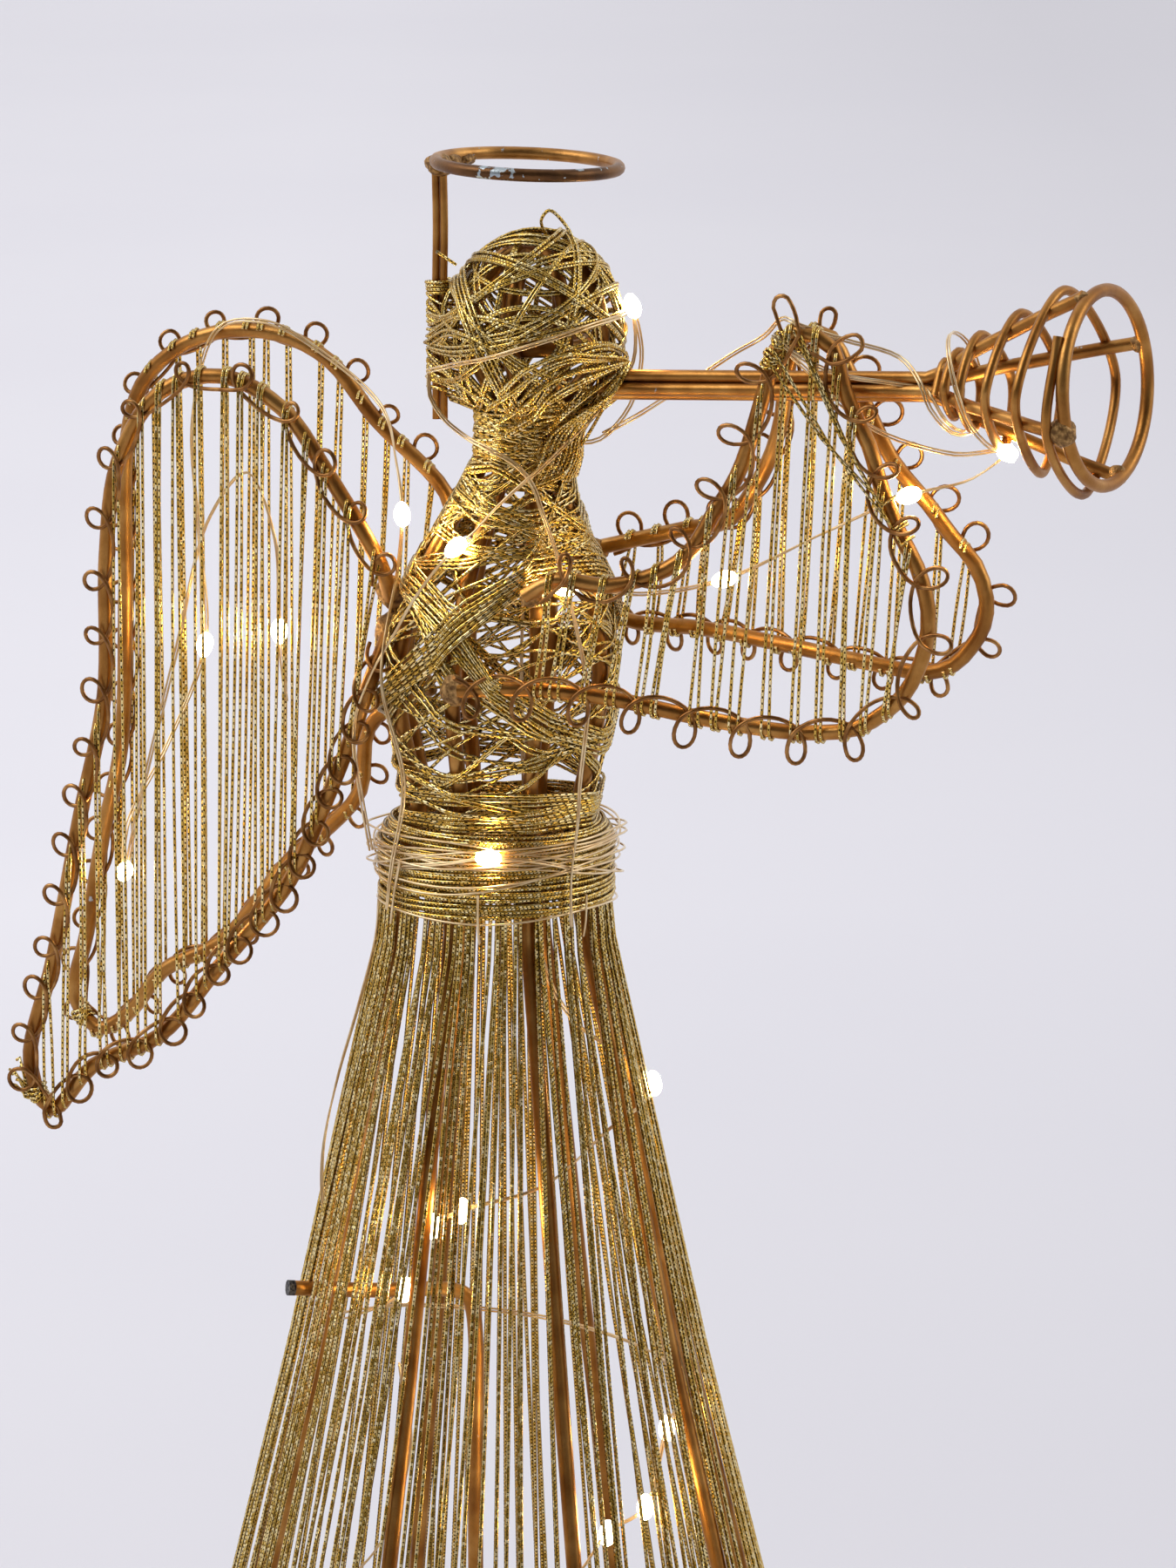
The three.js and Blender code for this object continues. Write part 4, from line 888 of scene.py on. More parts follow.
def skirt_strand(low_turn, high_turn, slack, layer):
    """One thread from under the hem ring straight up to the belt, bowed aside by its slack."""
    low, high = around(skirt(hem_top), low_turn, 0), around(belt_radius, high_turn, 0)
    run = [around(skirt(0) - 1.4, low_turn, 0.4), around(skirt(0) - 0.3, low_turn, 0.75)]
    for i in range(29):
        height = hem_top + (thread_top - hem_top) * i / 28
        share = (skirt(hem_top) - skirt(height)) / (skirt(hem_top) - belt_radius)
        flat = low.lerp(high, share)
        turn = math.degrees(math.atan2(flat.y, flat.x)) + slack * math.sin(math.pi * share)
        run.append(around(skirt(height) + layer * min(1, 0.3 + height / 20), turn, height))
    return run


random.seed("skirt")
for bay, bundles in enumerate(bundles_in_bay):
    count = pairs_in_bay[bay]
    start_share = 0.14 if bay == 3 else 0.02
    pitch = (0.98 - start_share) / count
    groups = [[] for _ in bundles]
    for pair in range(count):
        groups[min(int(pair * len(bundles) / count), len(bundles) - 1)].append(pair)
    runs = []
    for centre, group in zip(bundles, groups):
        middle = sum(group) / len(group)
        for order, pair in enumerate(group):
            fanned = middle + 1.3 * (pair - middle) + random.uniform(-0.5, 0.5)
            low_share = start_share + pitch * (fanned + 0.5) + bay_twist[bay] / bay_angle
            for strand in (0, 1):
                place_in_bundle = 2 * order + strand - (2 * len(group) - 1) / 2
                place_in_bundle += random.uniform(-1.3, 1.3)
                high_turn = upright_turns[bay] - bay_angle * centre
                high_turn -= math.degrees(place_in_bundle * thread_pitch / bundle_radius)
                low_turn = upright_turns[bay] - bay_angle * low_share
                low_turn -= (strand - 0.5) * random.uniform(0.6, 4)
                slack = random.uniform(-1, 1) ** 3 * 3
                layer = 0.8 * random.random() - 0.1
                runs.append(skirt_strand(low_turn, high_turn, slack, layer))
    cord(f"skirt_cord_{bay + 1}", runs, thread_width, wound_braid, f"skirt_thread_{bay + 1}")

# Belt
# The same cord wound round the tops of the skirt's threads and the uprights, in an inner
# layer of 18 turns and an outer one of 20, which bunch and cross a little.
belt_foot, belt_shoulder, belt_top = 192.3, 201, 204.75
random.seed("belt")
belt_runs = []
for radius, first, last, count in ((17.25, 192.8, 204.2, 18), (17.85, 192.6, 204.6, 20)):
    for i in range(count):
        if i % 4 == 0:
            bunch_phase = random.uniform(0, 2 * math.pi)
            bunch = random.uniform(0.2, 0.8)
        height = first + (last - first) * i / (count - 1)
        slant = random.uniform(-0.35, 0.35)
        phase = random.uniform(0, 2 * math.pi)
        run = []
        for k in range(60):
            a = 2 * math.pi * k / 60
            wander = slant * math.sin(a + phase) + 0.12 * math.sin(3 * a + phase)
            wander += bunch * math.sin(a - bunch_phase) * (0.4 + 0.6 * i / count)
            bulge = 0.14 * math.sin(2 * a + phase) + random.uniform(-0.05, 0.05)
            h = min(max(height + wander, belt_foot), belt_top)
            risen = max((h - belt_shoulder) / (belt_top - belt_shoulder), 0)
            drawn_in = 1.9 * min(risen, 1) ** 2
            run.append(around(radius + bulge - drawn_in, math.degrees(a), h))
        belt_runs.append(run)
cord("belt_cord", belt_runs, thread_width, wound_braid, "waist_wrap", closed=True)

# Torso winding
# The cord goes round the ribs in bundles of two to eight turns that cross one another at
# all slants, straight from rib to rib, closest at the neck and just above the belt. Pulled
# tight here, it is thinner than in the skirt.
random.seed("torso")
winding_width = 0.52
winding_foot, winding_top = 204.9, 268.6
rib_reach = 15
torso_runs = []


def wind_torso(height_at, count, layer, pitch=0.5, over_bar=(0, 0)):
    """Winds a bundle of turns round the eight ribs, at heights that a function gives. Near
    one turn it can stand off to go over a sleeve's bar."""
    fan_phase = random.uniform(0, 360)
    fan = random.uniform(0.1, 0.6)
    for j in range(count):
        wobble = random.uniform(-0.3, 0.3)
        run = []
        for turn in upright_turns:
            for off_rib in (1.4, 0, -1.4):
                a = turn + math.degrees(off_rib / rib_reach)
                spread = 1 + fan * math.sin(math.radians(a - fan_phase))
                # Eight degrees are about 2.3 mm round the torso
                steep = math.hypot(1, (height_at(a + 4) - height_at(a - 4)) / 2.3)
                height = height_at(a) + (j - (count - 1) / 2) * pitch * spread * steep
                height = min(max(height + wobble, winding_foot), winding_top)
                over = chest(height) - rib_depth(height) + 1.5 + layer + 0.25 * (j % 2)
                over -= 0.25 if off_rib else 0
                run.append(around(over, a, height, lean(height)))
            if over_bar[1] and abs(turn - 22.5 - over_bar[0]) < 23:
                a = over_bar[0]
                height = height_at(a) + (j - (count - 1) / 2) * pitch
                run.append(around(chest(height) + over_bar[1], a, height, lean(height)))
        torso_runs.append(run)


def tilted(middle, rise, peak):
    """Heights of a turn wound at a slant."""
    return lambda a: middle + rise * math.sin(math.radians(a - peak))


def routed(*places):
    """Heights of a turn through given (turn, height) places, once round."""
    first = places[0]
    table = (*places, (first[0] + 360, first[1]))
    return lambda a: along(table, (a - first[0]) % 360 + first[0])


for middle, rise, count in (
    (205.6, 0.5, 4), (206.6, 1.1, 5), (208, 2, 4), (209.5, 2.8, 4), (211, 4, 3),
):
    wind_torso(tilted(middle, rise, random.uniform(0, 360)), count, random.uniform(0.6, 1.1))
for i in range(11):
    middle = random.uniform(225, 243)
    rise = min(random.uniform(12, 21), middle - 206.5, 263 - middle)
    layer = 0.05 * i
    wind_torso(tilted(middle, rise, 32.7 * i), random.choice((1, 2, 2, 3, 4)), layer)
for i in range(6):
    layer = 0.05 * i + 0.1
    slant = tilted(random.uniform(215, 249), random.uniform(3, 9), random.uniform(0, 360))
    wind_torso(slant, random.choice((1, 2, 3)), layer)
for i in range(22):
    middle = random.uniform(215, 243)
    rise = min(random.uniform(9, 20), middle - 206, 263 - middle)
    wind_torso(tilted(middle, rise, 360 * random.random()), 1, 0.6 * random.random())
for i in range(8):
    layer = 0.06 * i
    slant = tilted(random.uniform(247, 257), random.uniform(3, 8), random.uniform(0, 360))
    wind_torso(slant, random.choice((3, 4, 5)), layer)
for i in range(10):
    layer = 0.05 * i
    slant = tilted(258.5 + i * 0.95, random.uniform(0.8, 3), random.uniform(0, 360))
    wind_torso(slant, random.choice((4, 5)), layer)
# Three broad bands cross on the chest, and two of them go over the near sleeve's bar
falling_band = routed(
    (108, 244.6), (144, 238.3), (161, 234.4), (185, 227), (230, 219), (300, 222), (380, 236),
    (430, 245),
)
wind_torso(falling_band, 5, 0.7)
second_band = routed(
    (150.5, 240.3), (167, 237.2), (180, 233.6), (194, 229.2), (203.5, 226.2), (250, 218),
    (310, 222), (380, 234), (440, 243),
)
wind_torso(second_band, 7, 1.0, 0.48, (196, 3.4))
rising_band = routed(
    (112.4, 221.5), (158, 229.7), (175.7, 236.2), (190.6, 240.5), (210.3, 244.1), (270, 243),
    (330, 231), (400, 219),
)
wind_torso(rising_band, 8, 1.5, 0.46, (209, 1.4))
cord("torso_cord", torso_runs, winding_width, wound_braid, "torso_wrap", closed=True)

# Head winding
# The cord wound over the head cage and the halo's posts in bundles at every slant, with
# gaps between them, and a fan of turns drawn together at the trumpet's mouthpiece. The
# head is a plain ball of cord without a face.
random.seed("head")
head_radius = 14
head_axes = Vector((14.4, 12.8, 14.8))
mouth = Vector((1.5, -13.2, -5))
posts = Vector((-1, 16.8))
# Where the posts stand behind the head, once it is drawn out to a round ball
posts_seen = Vector((posts.x / head_axes.x, posts.y / head_axes.y))
posts_turn = math.atan2(posts_seen.y, posts_seen.x)
head_runs = []


def head_direction(turn, height):
    """A place on the head as a direction on a round ball."""
    a = math.radians(turn)
    rise = (height - head_middle.z) / head_axes.z
    level = Vector((math.cos(a) / head_axes.x, math.sin(a) / head_axes.y, 0)).normalized()
    return level * math.sqrt(max(0, 1 - rise * rise)) + Vector((0, 0, rise))


def wind_head(normal, offset, count, layer, pitch=0.5, at_mouth=0.0):
    """Winds a bundle of turns square to a direction, pushed off the head's middle. It can
    stand off to go over the mouthpiece."""
    side = normal.orthogonal().normalized()
    other = normal.cross(side)
    fan_phase = random.uniform(0, 2 * math.pi)
    fan = random.uniform(0.1, 0.6)
    for j in range(count):
        wobble = random.uniform(-0.015, 0.015)
        run = []
        for k in range(48):
            a = 2 * math.pi * k / 48
            spread = 1 + fan * math.sin(a - fan_phase)
            off = offset + (j - (count - 1) / 2) * pitch / head_radius * spread + wobble
            off = min(max(off, -0.95), 0.95)
            flat = math.sqrt(1 - off * off)
            p = off * normal + flat * (math.cos(a) * side + math.sin(a) * other)
            point = Vector([c * (s + layer + 0.2 * (j % 2)) for c, s in zip(p, head_axes)])
            # Where the turn meets the posts behind the head it goes straight over them
            reach = math.acos(min(1, math.hypot(p.x, p.y) / posts_seen.length))
            apart = abs(math.atan2(p.y, p.x) - posts_turn)
            if apart < reach:
                low_fade = min(max((point.z + 13.5) / 3.5, 0), 1)
                high_fade = min(max((8 - point.z) / 4, 0), 1)
                stretch = 1 + (1 / math.cos(reach - apart) - 1) * low_fade * high_fade
                point.x *= stretch
                point.y *= stretch
            near_mouth = math.exp(-((point - mouth).length / 3.5) ** 2)
            run.append(point * (1 + at_mouth * near_mouth) + head_middle)
        head_runs.append(run)


def wind_through(places, count, layer, pitch=0.5, at_mouth=0.0):
    """Winds a bundle over three (turn, height) places on the head."""
    first, second, third = (head_direction(*place) for place in places)
    normal = (second - first).cross(third - first).normalized()
    wind_head(normal, normal.dot(first), count, layer, pitch, at_mouth)


for i in range(8):
    slope = math.radians(random.choice((12, 25, 38, 50, 62, 75, 85)) + random.uniform(-6, 6))
    spin = random.uniform(0, 2 * math.pi)
    normal = Vector((
        math.sin(slope) * math.cos(spin), math.sin(slope) * math.sin(spin), math.cos(slope),
    ))
    wind_head(normal, random.uniform(-0.75, 0.7), random.choice((1, 2, 3, 3)), -0.6 + 0.03 * i)
for i in range(5):
    normal = Vector((0.1 * math.sin(i), 0.12 * math.cos(2 * i), 1)).normalized()
    wind_head(normal, -0.92 + 0.04 * i, 3, -0.3)
for i, (count, places) in enumerate((
    (4, ((113, 287.5), (115, 281.6), (124, 267.3))),
    (5, ((110, 291.3), (160, 293.8), (270, 289.4))),
    (3, ((270, 290.5), (274, 283.1), (293, 277.0))),
    (3, ((118, 277.3), (150, 272.6), (171, 266.2))),
    (4, ((124, 266.6), (146, 264.6), (276, 265.8))),
    (2, ((150, 283.7), (171, 287.5), (199, 290.5))),
    (2, ((207, 288.7), (193, 284.3), (178, 277.6))),
    (2, ((116, 280.5), (165, 282.9), (220, 278.8))),
    (3, ((313, 293.9), (235, 288.5), (213, 275.6))),
    (5, ((111, 290.2), (193, 289.8), (275, 279.1))),
    (3, ((170, 278.7), (203, 280.5), (269, 282.4))),
    (4, ((224, 276.7), (199, 272.4), (130, 264.7))),
    (5, ((112, 287.8), (173, 274.8), (264, 264.3))),
)):
    wind_through(places, count, -0.1 + 0.05 * i, 0.46)
for i, heights in enumerate((
    (284, 280, 284), (279.5, 285, 290), (275.5, 270, 268), (272, 275, 283), (287, 282, 274),
    (268.5, 268, 271), (282, 287, 293), (277, 279, 272),
)):
    places = tuple(zip((93, 148 + 3 * i, 212), heights))
    wind_through(places, 2, 0.25 + 0.03 * i, 0.46)
for turn, height in ((203, 276.5), (199, 274.3), (197, 272.0), (203, 269.6), (220, 267.4)):
    third = (150 + random.uniform(-12, 12), 266.5)
    wind_through(((288, 275), (turn, height), third), 1, 0.45, 0.5, 0.1)
cord("head_cord", head_runs, winding_width, wound_braid, "head_wrap", closed=True)

# A fan of cord drawn over the mouthpiece and down over the cheek and the chin, and loose
# ends that stand up at the crown and the back of the head
random.seed("mouthpiece")
ends = []
for route in (
    ((0, -21.4, 275.1), (-2.5, -20.9, 272.5), (-2.9, -19, 269.6), (1.3, -14.6, 264.2),
     (0, -12.7, 260.7), (-4.9, -12.6, 258.6), (-8, -9, 257)),
    ((0, -21.3, 275.2), (-2.9, -20.1, 272.8), (-2.1, -17.5, 270), (1.2, -13.7, 265.8),
     (-0.5, -12, 262.6), (-5, -11.6, 260.4), (-8, -8, 259)),
    ((0, -21.2, 275.3), (-2.9, -19.6, 273.4), (-6.4, -17, 271.2), (-7.1, -13.5, 268.2),
     (-4.9, -10.4, 265.5), (-8, -6, 263)),
    ((0, -21.2, 275.4), (-4, -19.4, 274.5), (-9.1, -16.3, 273.2), (-10.9, -13, 271.2),
     (-9.6, -9.8, 267.9), (-9, -5, 265)),
    ((0, -21, 275.5), (-5.6, -19.2, 275.3), (-10.3, -16.1, 275), (-12.3, -12.7, 273.4),
     (-11.7, -8.9, 269.9), (-10, -4, 267)),
    ((0, -20.9, 275.6), (-6, -19, 276.1), (-11.2, -15.7, 276.7), (-13.3, -12.2, 275.1),
     (-13.2, -8, 272), (-11, -3, 269)),
    ((0, -20.9, 275.7), (-5.8, -19.2, 277), (-10.9, -16.2, 278), (-13.5, -13, 277.2),
     (-14.5, -9.9, 275.5), (-13.8, -6, 272)),
):
    for strand in range(2):
        drift = Vector([random.uniform(-0.25, 0.25) for _ in range(3)])
        run = [(4, -17.5, 272.5), (2.4, -20.4, 274.4)]
        beside = Vector((0, 0.1, -0.5 * strand))
        run += [Vector(p) + drift + beside * min(1, 0.4 * k) for k, p in enumerate(route)]
        ends.append(smooth(run, 1.5))
for turn in range(228, 342, 6):
    side_x = -2.9 if turn < 270 else 2.9
    drift = random.uniform(-0.3, 0.3)
    ends.append(smooth((
        (0.3 * side_x, -20.9 + drift, 275 + drift), (side_x, -20.4 + drift, 272 + drift),
        around(9.3 + 0.5 * drift, turn, 264.5, -4.4), around(9.2, turn - 9, 260.5, -4.2),
        around(8.6, turn - 18, 257.5, -4),
    ), 1.5))
for route in (
    ((-1, -9, 293.6), (-3.2, -8.6, 296.6), (-3.4, -10, 298.2), (-2, -12.3, 295.6),
     (-1.6, -13.6, 292.6)),
    ((-9.6, 2.6, 290.2), (-11.5, 4.8, 292.2), (-12.2, 4.6, 292.4)),
):
    ends.append(smooth(route, 0.5))
ends.append([
    around(1.9 + 0.2 * math.sin(k), 30 * k, 284.6 + 0.045 * k) + Vector((-1, 8.6, 0))
    for k in range(50)
])
ends.append([
    Vector((
        -1 + 2.2 * math.cos(k / 4), 6.9 + 3.6 * math.sin(k / 4),
        284 - 0.043 * k + 1.1 * math.sin(k / 4 + 0.9 * math.sin(k / 31)),
    ))
    for k in range(350)
])
cord("head_cord_ends", ends, winding_width, strung_braid)

# Wing and sleeve threads
# The cord is strung up and down across each frame in pairs, over the outer face and round
# the wire beside an eyelet at each end.
strung_pairs = {
    "near_wing": (17, 0.08), "far_wing": (16, 0.08), "near_sleeve": (15, 0.2),
    "far_sleeve": (13, 0.2),
}


def crossing(outline, y):
    """The lowest and the highest place where an outline passes a place along Y."""
    found = []
    for a, b in zip(outline, outline[1:]):
        if (a.y - y) * (b.y - y) <= 0 and a.y != b.y:
            found.append((a.lerp(b, (y - a.y) / (b.y - a.y)), (b - a).normalized()))
    found.sort(key=lambda item: item[0].z)
    return found[0], found[-1]


def hooked(point, outer, up):
    """The end of a thread, from behind the frame wire at a point round to its outer face."""
    return [
        point + Vector((outer * across, 0, up * rise))
        for across, rise in ((-1.5, 0.3), (-1.0, 1.2), (0, 1.5), (1.05, 1.12), (1.5, 0.1))
    ]


for name, shape in bent_frames.items():
    random.seed("threads " + name)
    count, first_share = strung_pairs[name]
    outer = shape["outer"]
    limits = [shape["root"] + share * shape["length"] for share in (0.06, 0.985)]
    runs = []
    for i in range(count):
        share = first_share + (0.94 - first_share) * i / (count - 1)
        share += random.uniform(-0.01, 0.01)
        middle_y = shape["root"] + share * shape["length"]
        slant = 2.6 if "hand" in shape else 5 * max(0, 0.75 - share)
        slant += random.uniform(-1.2, 1.2)
        apart = random.uniform(0.32, 0.7)
        for strand in (-1, 1):
            top_y = middle_y - 0.5 * slant + strand * 0.3
            foot_y = middle_y + 0.5 * slant + strand * apart
            foot_y = min(max(foot_y, min(limits)), max(limits))
            foot = hooked(crossing(shape["outline"], foot_y)[0][0], outer, -1)
            top = hooked(crossing(shape["outline"], top_y)[1][0], outer, 1)
            sag = random.uniform(-0.4, 0.4)
            line = []
            for k in range(1, 10):
                t = k / 10
                bow = Vector((outer * 0.1, sag * math.sin(math.pi * t), 0))
                line.append(foot[-1].lerp(top[-1], t) + bow)
            runs.append([*foot, *line, *reversed(top)])
    cord(name + "_cord", runs, winding_width, strung_braid, name + "_thread")

# The cord is tied off round the near sleeve's peak and the wings' tips, and two slack pairs
# come down the cuff from the peak's tie
random.seed("ties")
ties = []
for name, y, at_top, turns in (
    ("near_sleeve", -47.2, True, 5), ("near_sleeve", -48.6, True, 4),
    ("far_sleeve", -46, True, 4), ("near_wing", 70.6, False, 4), ("far_wing", 76.4, False, 4),
):
    low_place, high_place = crossing(bent_frames[name]["outline"], y)
    point, ahead = high_place if at_top else low_place
    sideways = Vector((1, 0, 0))
    outward = ahead.cross(sideways).normalized()
    tie = []
    for k in range(turns * 12):
        a = 2 * math.pi * k / 12
        slide = (k / (turns * 12) - 0.5) * turns * 0.6 + 0.3 * math.sin(a + k)
        radius = 1.5 + 0.15 * math.sin(k * 0.7)
        spoke = math.cos(a) * sideways + math.sin(a) * outward
        tie.append(point + slide * ahead + radius * spoke)
    ties.append(tie)
cuff = bent_frames["near_sleeve"]["outline"]
for top_y, foot_y in ((-47, -64.6), (-47.6, -66.2), (-50.6, -66.4), (-51.2, -67.4)):
    top, foot = (crossing(cuff, y)[1][0] for y in (top_y, foot_y))
    ties.append([
        top + Vector((-1.7, 0, 0.4)), top.lerp(foot, 0.5) + Vector((-2, 0.5, -0.6)),
        foot + Vector((-1.7, 0, 0)), foot + Vector((-0.9, -1, 0.9)),
        foot + Vector((0.6, -1.2, 1)),
    ])
for i in range(7):
    end = Vector((-15.2 + 0.3 * i, 74.2 + random.uniform(-0.5, 2), 159 + 0.7 * i))
    ties.append([
        Vector((-14.6, 71, 157.4 + 0.3 * i)), Vector((-15.6, 72.6, 158 + 0.5 * i)),
        end + Vector((0, -0.6, random.uniform(-0.5, 0.5))), end,
    ])
cord("cord_ties", ties, winding_width, strung_braid)

# Light string
# Two thin lacquered wires side by side, led from the battery box up inside the skirt and
# the torso, over the head, along the trumpet, round the belt and into the wings.
light_wire = 0.34
wire_gap = 0.44

# Lacquered copper wire: bright, smooth and pale rose gold under a clear coat
lacquered_wire = mottled(
    "lacquered_copper_wire", [(0.3, "#d6b077"), (0.7, "#f3dcae")], 300.0, 2.0,
    {"Metallic": 0.8, "Roughness": 0.28, "Coat Weight": 0.6, "Coat Roughness": 0.08},
)

# Clear resin over a lit warm-white chip: the drop glows and burns out to white, and casts
# a warm light on the threads beside it
lit_resin, tree = new_material("lit_clear_resin")
place = put(tree, "TexCoord", {})["Object"]
cloud = put(tree, "TexNoise", {"Vector": place, "Scale": 500.0, "Detail": 2.0})["Fac"]
warm = put(
    tree, "ValToRGB", {"Fac": cloud}, stops=[(0.2, "#ffd890"), (0.8, "#ffe7b4")],
)["Color"]
shader = put(
    tree, "BsdfPrincipled",
    {"Base Color": colour("#fff6e0"), "Roughness": 0.12, "Emission Color": warm,
     "Emission Strength": 70.0},
)["BSDF"]
put(tree, "OutputMaterial", {"Surface": shader})


def light_pair(route):
    """Two parallel runs that turn slowly round one another."""
    run = smooth(route, 1.6)
    side = Vector((0.3, 0.2, 1))
    left, right = [], []
    gone = 0.0
    for i, point in enumerate(run):
        before, after = run[max(i - 1, 0)], run[min(i + 1, len(run) - 1)]
        ahead = (after - before).normalized()
        gone += (after - point).length
        side = (side - side.dot(ahead) * ahead).normalized()
        twist = Matrix.Rotation(0.8 * math.sin(gone / 13), 3, ahead) @ side
        left.append(point + twist * wire_gap / 2)
        right.append(point - twist * wire_gap / 2)
    return [left, right]


def on_torso(turn, height, off):
    """A point beside the torso."""
    return around(chest(height) + off, turn, height, lean(height))


def make_lights(name, routes, drops, node, hang=0.0):
    """The wires and the resin drops of one stretch of the light string. The drops lie along
    the wires, or hang down from them."""
    runs = [run for route in routes for run in light_pair(route)]
    wires = sweep(name, runs, light_wire, sides=6)
    fit(wires, lacquered_wire, "light_wire", node)
    drop_mesh = bmesh.new()
    for route_index, index in drops:
        route = [Vector(p) for p in routes[route_index]]
        before, after = route[max(index - 1, 0)], route[min(index + 1, len(route) - 1)]
        way = (after - before).normalized() * (1 - hang) + Vector((0.1, 0.1, hang))
        spin = way.to_track_quat("Z", "Y").to_matrix().to_4x4()
        # A ball of 1 mm radius, drawn out to 4 mm along the wire and fuller at one end
        made = bmesh.ops.create_uvsphere(drop_mesh, u_segments=18, v_segments=12, radius=0.001)
        for vertex in made["verts"]:
            swell = 1.25 - 0.12 * (vertex.co.z * 1000)
            vertex.co = Vector((vertex.co.x * swell, vertex.co.y * swell, vertex.co.z * 2))
        in_place = Matrix.Translation(at(*route[index])) @ spin
        bmesh.ops.transform(drop_mesh, matrix=in_place, verts=made["verts"])
    resin = to_object(name + "_drops", drop_mesh)
    resin.data.shade_smooth()
    fit(resin, lit_resin, "light_wire")


box_place = Matrix((
    (0.99452, 0.10148, -0.02508, 5.293), (-0.10453, 0.96548, -0.23858, 50.3575),
    (0, 0.23989, 0.97080, 38), (0, 0, 0, 1),
))
skirt_climb = (
    (110, 76), (140, 80), (170, 83), (200, 88), (220, 93), (231.5, 99), (245.6, 101.5),
    (262.6, 111.4), (285, 113.5), (320, 115.5), (365, 118), (410, 121), (455, 124), (500, 129),
    (524.6, 135), (533.7, 144.9), (545.8, 147.6), (580, 151), (620, 157),
)
inside_skirt = 4.9
throat_turn, throat_height = 286.5, 262.4
throat = lean(throat_height)
skirt_route = [
    box_place @ Vector((-7, 0, 27.3)), box_place @ Vector((-7, 0, 35)),
    *[around(skirt(height) - inside_skirt, turn, height) for turn, height in skirt_climb],
    around(24.1, 650, 162.6), around(12, 300, 172), around(7, 290, 182), around(5, 300, 198),
    around(4, 300, 232), (0.8, throat - 2, 256.4),
    around(4.6, throat_turn, throat_height, throat),
    around(7.5, throat_turn, throat_height, throat),
]
skirt_drops = [(0, 7), (0, 8), (0, 9), (0, 16), (0, 17), (0, 18), (0, 21)]
slack_pair = [
    around(skirt(124) - inside_skirt, 166, 124), around(20, 158, 108), around(24, 148, 92),
    around(38, 120, 76), box_place @ Vector((-3, 0, 33)), box_place @ Vector((-3, 0, 27.3)),
]
outer_pair = [
    around(18.2, 118, 192), around(18.6, 114, 186), around(21, 112, 176),
    around(24.7, 111, 163), around(26.9, 113, 152), around(27, 118, 144), around(26, 124, 138),
]
make_lights(
    "skirt_lights", [skirt_route, slack_pair, outer_pair], skirt_drops, "light_string_skirt",
    hang=0.8,
)

# Over the figure: along the trumpet, down the sleeve, round the head and the neck, and ties
# at the belt
figure_route = [
    around(7.9, throat_turn, throat_height, throat), (3.6, -15.5, 263), (5.6, -19.6, 268),
    (6.9, -21, 275), (7, -20.6, 279), (5.5, -20, 283.2),
]
bell_turns = (
    (165, 49, 3.6), (215, 50.6, 4.8), (255, 53.2, 6.8), (290, 55, 7.4), (330, 55, 7),
    (20, 54.4, 7), (60, 53.8, 7.4), (95, 53.4, 8.2), (130, 54.6, 8.6), (180, 57, 8.2),
    (215, 58.6, 8.6), (246, 60.6, 9.4), (262, 62, 9.6),
)
pipe_pair = [
    (5, -15.5, 263.6), (4.2, -21, 266.6), (3.9, -26, 269.8), (3.4, -31, 273), (2.4, -37, 277),
    (-2.2, -43.5, 280.6), (-7.8, -48.6, 284.2), (-8.6, -51, 283.4), (-5, -57, 281),
    (-3.4, -65, 278.6), *[on_trumpet(radius, turn, far) for turn, far, radius in bell_turns],
]
under_pair = [
    (-9.6, -47.4, 282), (-9.6, -50.5, 279.4), (-7.6, -57, 276.2), (-5.4, -64, 275),
    (-4, -69, 274.2), on_trumpet(3.6, 190, 50.5), on_trumpet(5.4, 245, 52.6),
    on_trumpet(6.6, 270, 54.4), on_trumpet(6, 310, 55),
]
sleeve_pair = [
    (-9.8, -48, 280.8), (-6, -52, 276), (-2.5, -60, 268), (0.4, -72.5, 264), (1, -80.3, 264.8),
    (0, -75.5, 260.6), (-3.1, -66.5, 258), (-4.4, -54, 252), (-6.4, -38.8, 244.4),
    (-9.6, -27, 242), (-12.3, -15.9, 242.7), on_torso(232, 240, 1.0), on_torso(236, 238, -1.5),
]
belt_light = [
    around(18.6, 242, 199), around(18.8, 220, 201), around(19.3, 197, 201.9),
    around(18.8, 176, 200.6), around(18.5, 150, 199.4),
]
head_pair = [
    (-7.2, 8.2, 273.6), (-12.2, 1.6, 275.6), (-15.5, -4.4, 277.1), (-15.5, -10.1, 278.9),
    (-13.4, -14.8, 280.5), (-8.6, -18.9, 282), (-1.4, -20.8, 282.6), (4, -20.4, 283),
]
cross_pair = [
    (5.6, -20, 282.6), (5.8, -20.4, 279), (5.4, -20.2, 274.8), (2.8, -18.6, 270.9),
    (0, -14.9, 266.3), (-4, -12.5, 262.8), (-7.8, -10.6, 260.2), (-10.2, -8, 257.6),
    (-12.2, -4.8, 254.3), (-13.9, -1.8, 250.7), (-14.9, 0.8, 248.3), (-15.6, 3.9, 244.7),
    (-15.2, 7.6, 239.8), (-14.5, 10.6, 235), (-14.5, 13.8, 229.8), (-14.5, 15.8, 225.6),
    (-14.4, 17.3, 221.5), (-13.4, 18, 216), (-11.6, 17.5, 208), (-10.2, 16.6, 200),
]
neck_pair = [
    (-7, 8.1, 273.2), (-8.2, 7.4, 270), (-7.9, 5.6, 266.9), (-8.1, 1.6, 264),
    (-9.8, -2.4, 262.7), (-9.9, -6.7, 260.7), (-9.4, -9.4, 257.6), (-10, -11.3, 253.3),
    (-10.6, -13.5, 248.2), (-11.9, -15.6, 243),
]
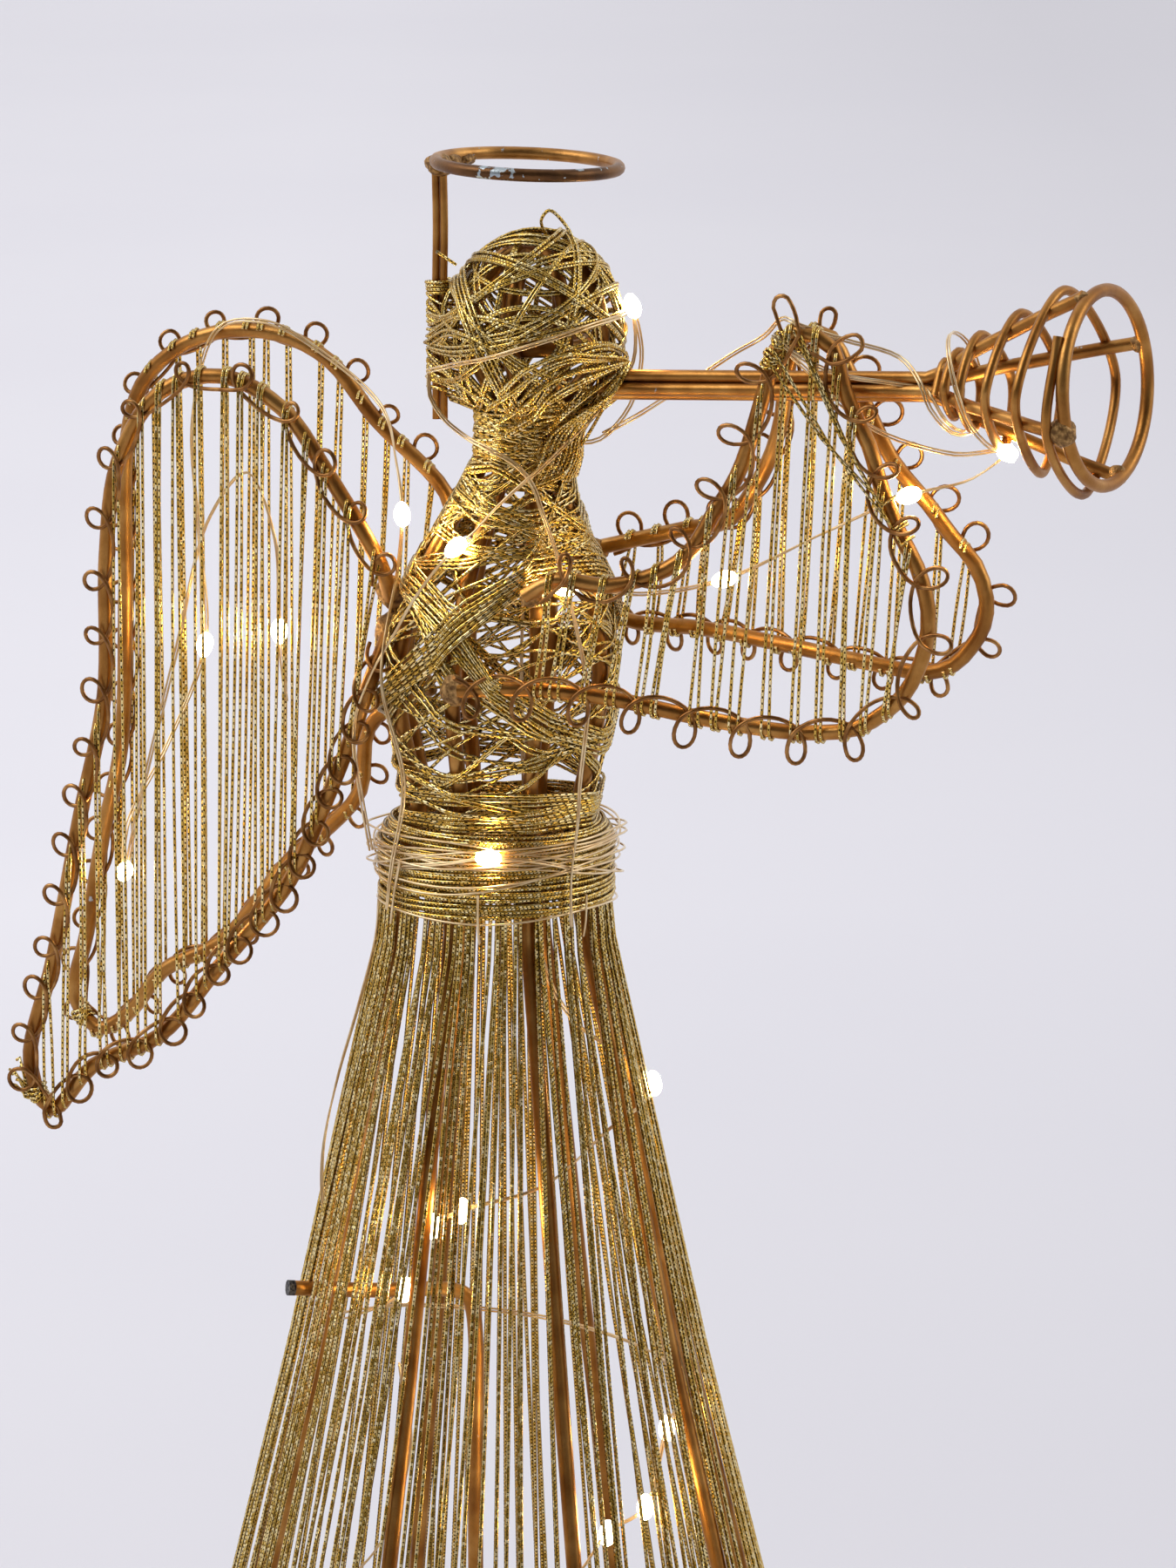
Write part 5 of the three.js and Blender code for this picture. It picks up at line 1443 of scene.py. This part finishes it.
belt_pair = [
    (-12, -16.4, 241), (-11.6, -16.6, 239.3), (-11.1, -18.2, 231.4), (-10.3, -18.7, 225.9),
    (-9.7, -17.9, 219.1), (-9.1, -16.9, 212.3), (-9.6, -16.7, 206), (-10.4, -16, 198),
    (-10.4, -16, 190.5),
]
tie_routes = [
    [around(18.6, 192, 196), around(18.7, 192, 191), around(18.2, 192.5, 188.5)],
    [around(18.8, 247, 195), around(18.7, 247, 191), around(18.2, 247, 188.5)],
    [around(18.9, 150, 200), around(19, 146, 195), around(18.8, 142, 190)],
]
figure_routes = [
    figure_route, pipe_pair, under_pair, sleeve_pair, head_pair, cross_pair, neck_pair,
    belt_pair, belt_light, *tie_routes,
]
figure_drops = [
    (0, 5), (1, len(pipe_pair) - 1), (3, 4), (3, 6), (3, 8), (3, 10), (5, 10), (8, 2),
]
make_lights("figure_lights", figure_routes, figure_drops, "light_string_figure")

# Round the belt the two wires lie apart, in loose turns that cross and stand off at the
# sides
random.seed("belt lights")
belt_wires = []
for i in range(12):
    level = random.uniform(197.4, 202.2) if i else 192.2
    swing = random.uniform(0.8, 4.2) if i else 0.3
    lowest = 191.9 if i < 3 else 195
    swing = min(swing, level - lowest, 204 - level)
    phase, second_phase = (random.uniform(0, 2 * math.pi) for _ in range(2))
    run = []
    for k in range(72):
        a = 2 * math.pi * k / 72
        height = level + swing * math.sin(a + phase) + 0.5 * math.sin(3 * a + second_phase)
        at_side = math.exp(-((k - 57) / 2.2) ** 2) + math.exp(-((k - 21) / 2.2) ** 2)
        loose = 0.5 * math.sin(i * 2.4) ** 2 + 1.2 * at_side * (i % 3 == 1)
        radius = 18.35 + loose + 0.1 * math.sin(5 * a + phase)
        run.append(around(radius, math.degrees(a), height))
    belt_wires.append(run)
belt_turns = sweep("belt_light_wires", belt_wires, light_wire, sides=6, closed=True)
fit(belt_turns, lacquered_wire, "light_wire")

# Up the back and into the wings
wings_route = [
    around(19.05, 499.4, 192), around(19.25, 505, 199), on_torso(150, 212, 2.2),
    on_torso(140, 228, 1.6), on_torso(125, 244, 1.4), (-9.5, 11.5, 252), (-3, 15, 259),
    (6, 21, 266), (10, 32, 273), (11, 42, 277.4), (11, 50, 276), (10, 54, 262), (9.6, 53, 244),
    (9.6, 52.2, 226.4), (4, 56, 212), (-6, 59, 200), (-9.9, 57.7, 193.8), (-10, 55, 205),
    (-9.6, 49, 228), (-9.4, 43, 250), (-9, 37, 257), (-8.8, 32.6, 247), (-8.8, 32, 232.7),
    (-8.8, 31, 222),
]
make_lights(
    "wing_lights", [wings_route], [(0, 5), (0, 13), (0, 16), (0, 22)], "light_string_wings",
)

# Battery box
# A two-cell box moulded in ABS, clipped on a back upright inside the skirt, with a sliding
# cover and a small slide switch. Its parts keep their CAD shapes.

# Moulded ABS: warm off-white, matt, with the fine spark-eroded texture of its mould
box_abs = mottled(
    "moulded_abs", [(0.3, "#cfc9b9"), (0.7, "#ddd8c9")], 60.0, 2.0, {"Roughness": 0.48},
    relief=(2800.0, 3.0, 0.3, 0.00006),
)

# Black acetal for the switch: smoother and a little glossier than the box
switch_acetal = mottled(
    "moulded_black_acetal", [(0.3, "#1a1a1c"), (0.7, "#242427")], 2500.0, 2.0, {},
    satin=(0.3, 0.42),
)

# Printed shrink sleeve on the cells: glossy dark green, with faint streaks along it
cell_sleeve = mottled(
    "glossy_shrink_sleeve", [(0.3, "#33423a"), (0.7, "#43564b")], (900.0, 900.0, 40.0), 2.0,
    {"Roughness": 0.25, "Coat Weight": 0.5, "Coat Roughness": 0.1},
)

# Nickel-plated steel: bright grey with a fine rolled grain
nickel_plate = mottled(
    "nickel_plated_steel", [(0.3, "#bfc0bc"), (0.7, "#d1d2ce")], (400.0, 6000.0, 6000.0), 2.0,
    {"Metallic": 1.0}, satin=(0.22, 0.38),
)

for node, material in (
    ("battery_case", box_abs), ("battery_cover", box_abs), ("switch_slider", switch_acetal),
    ("battery_cell_1", cell_sleeve), ("battery_cell_2", cell_sleeve),
    ("contact_bottom", nickel_plate), ("contact_top", nickel_plate),
):
    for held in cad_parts[node].material_slots:
        held.material = material
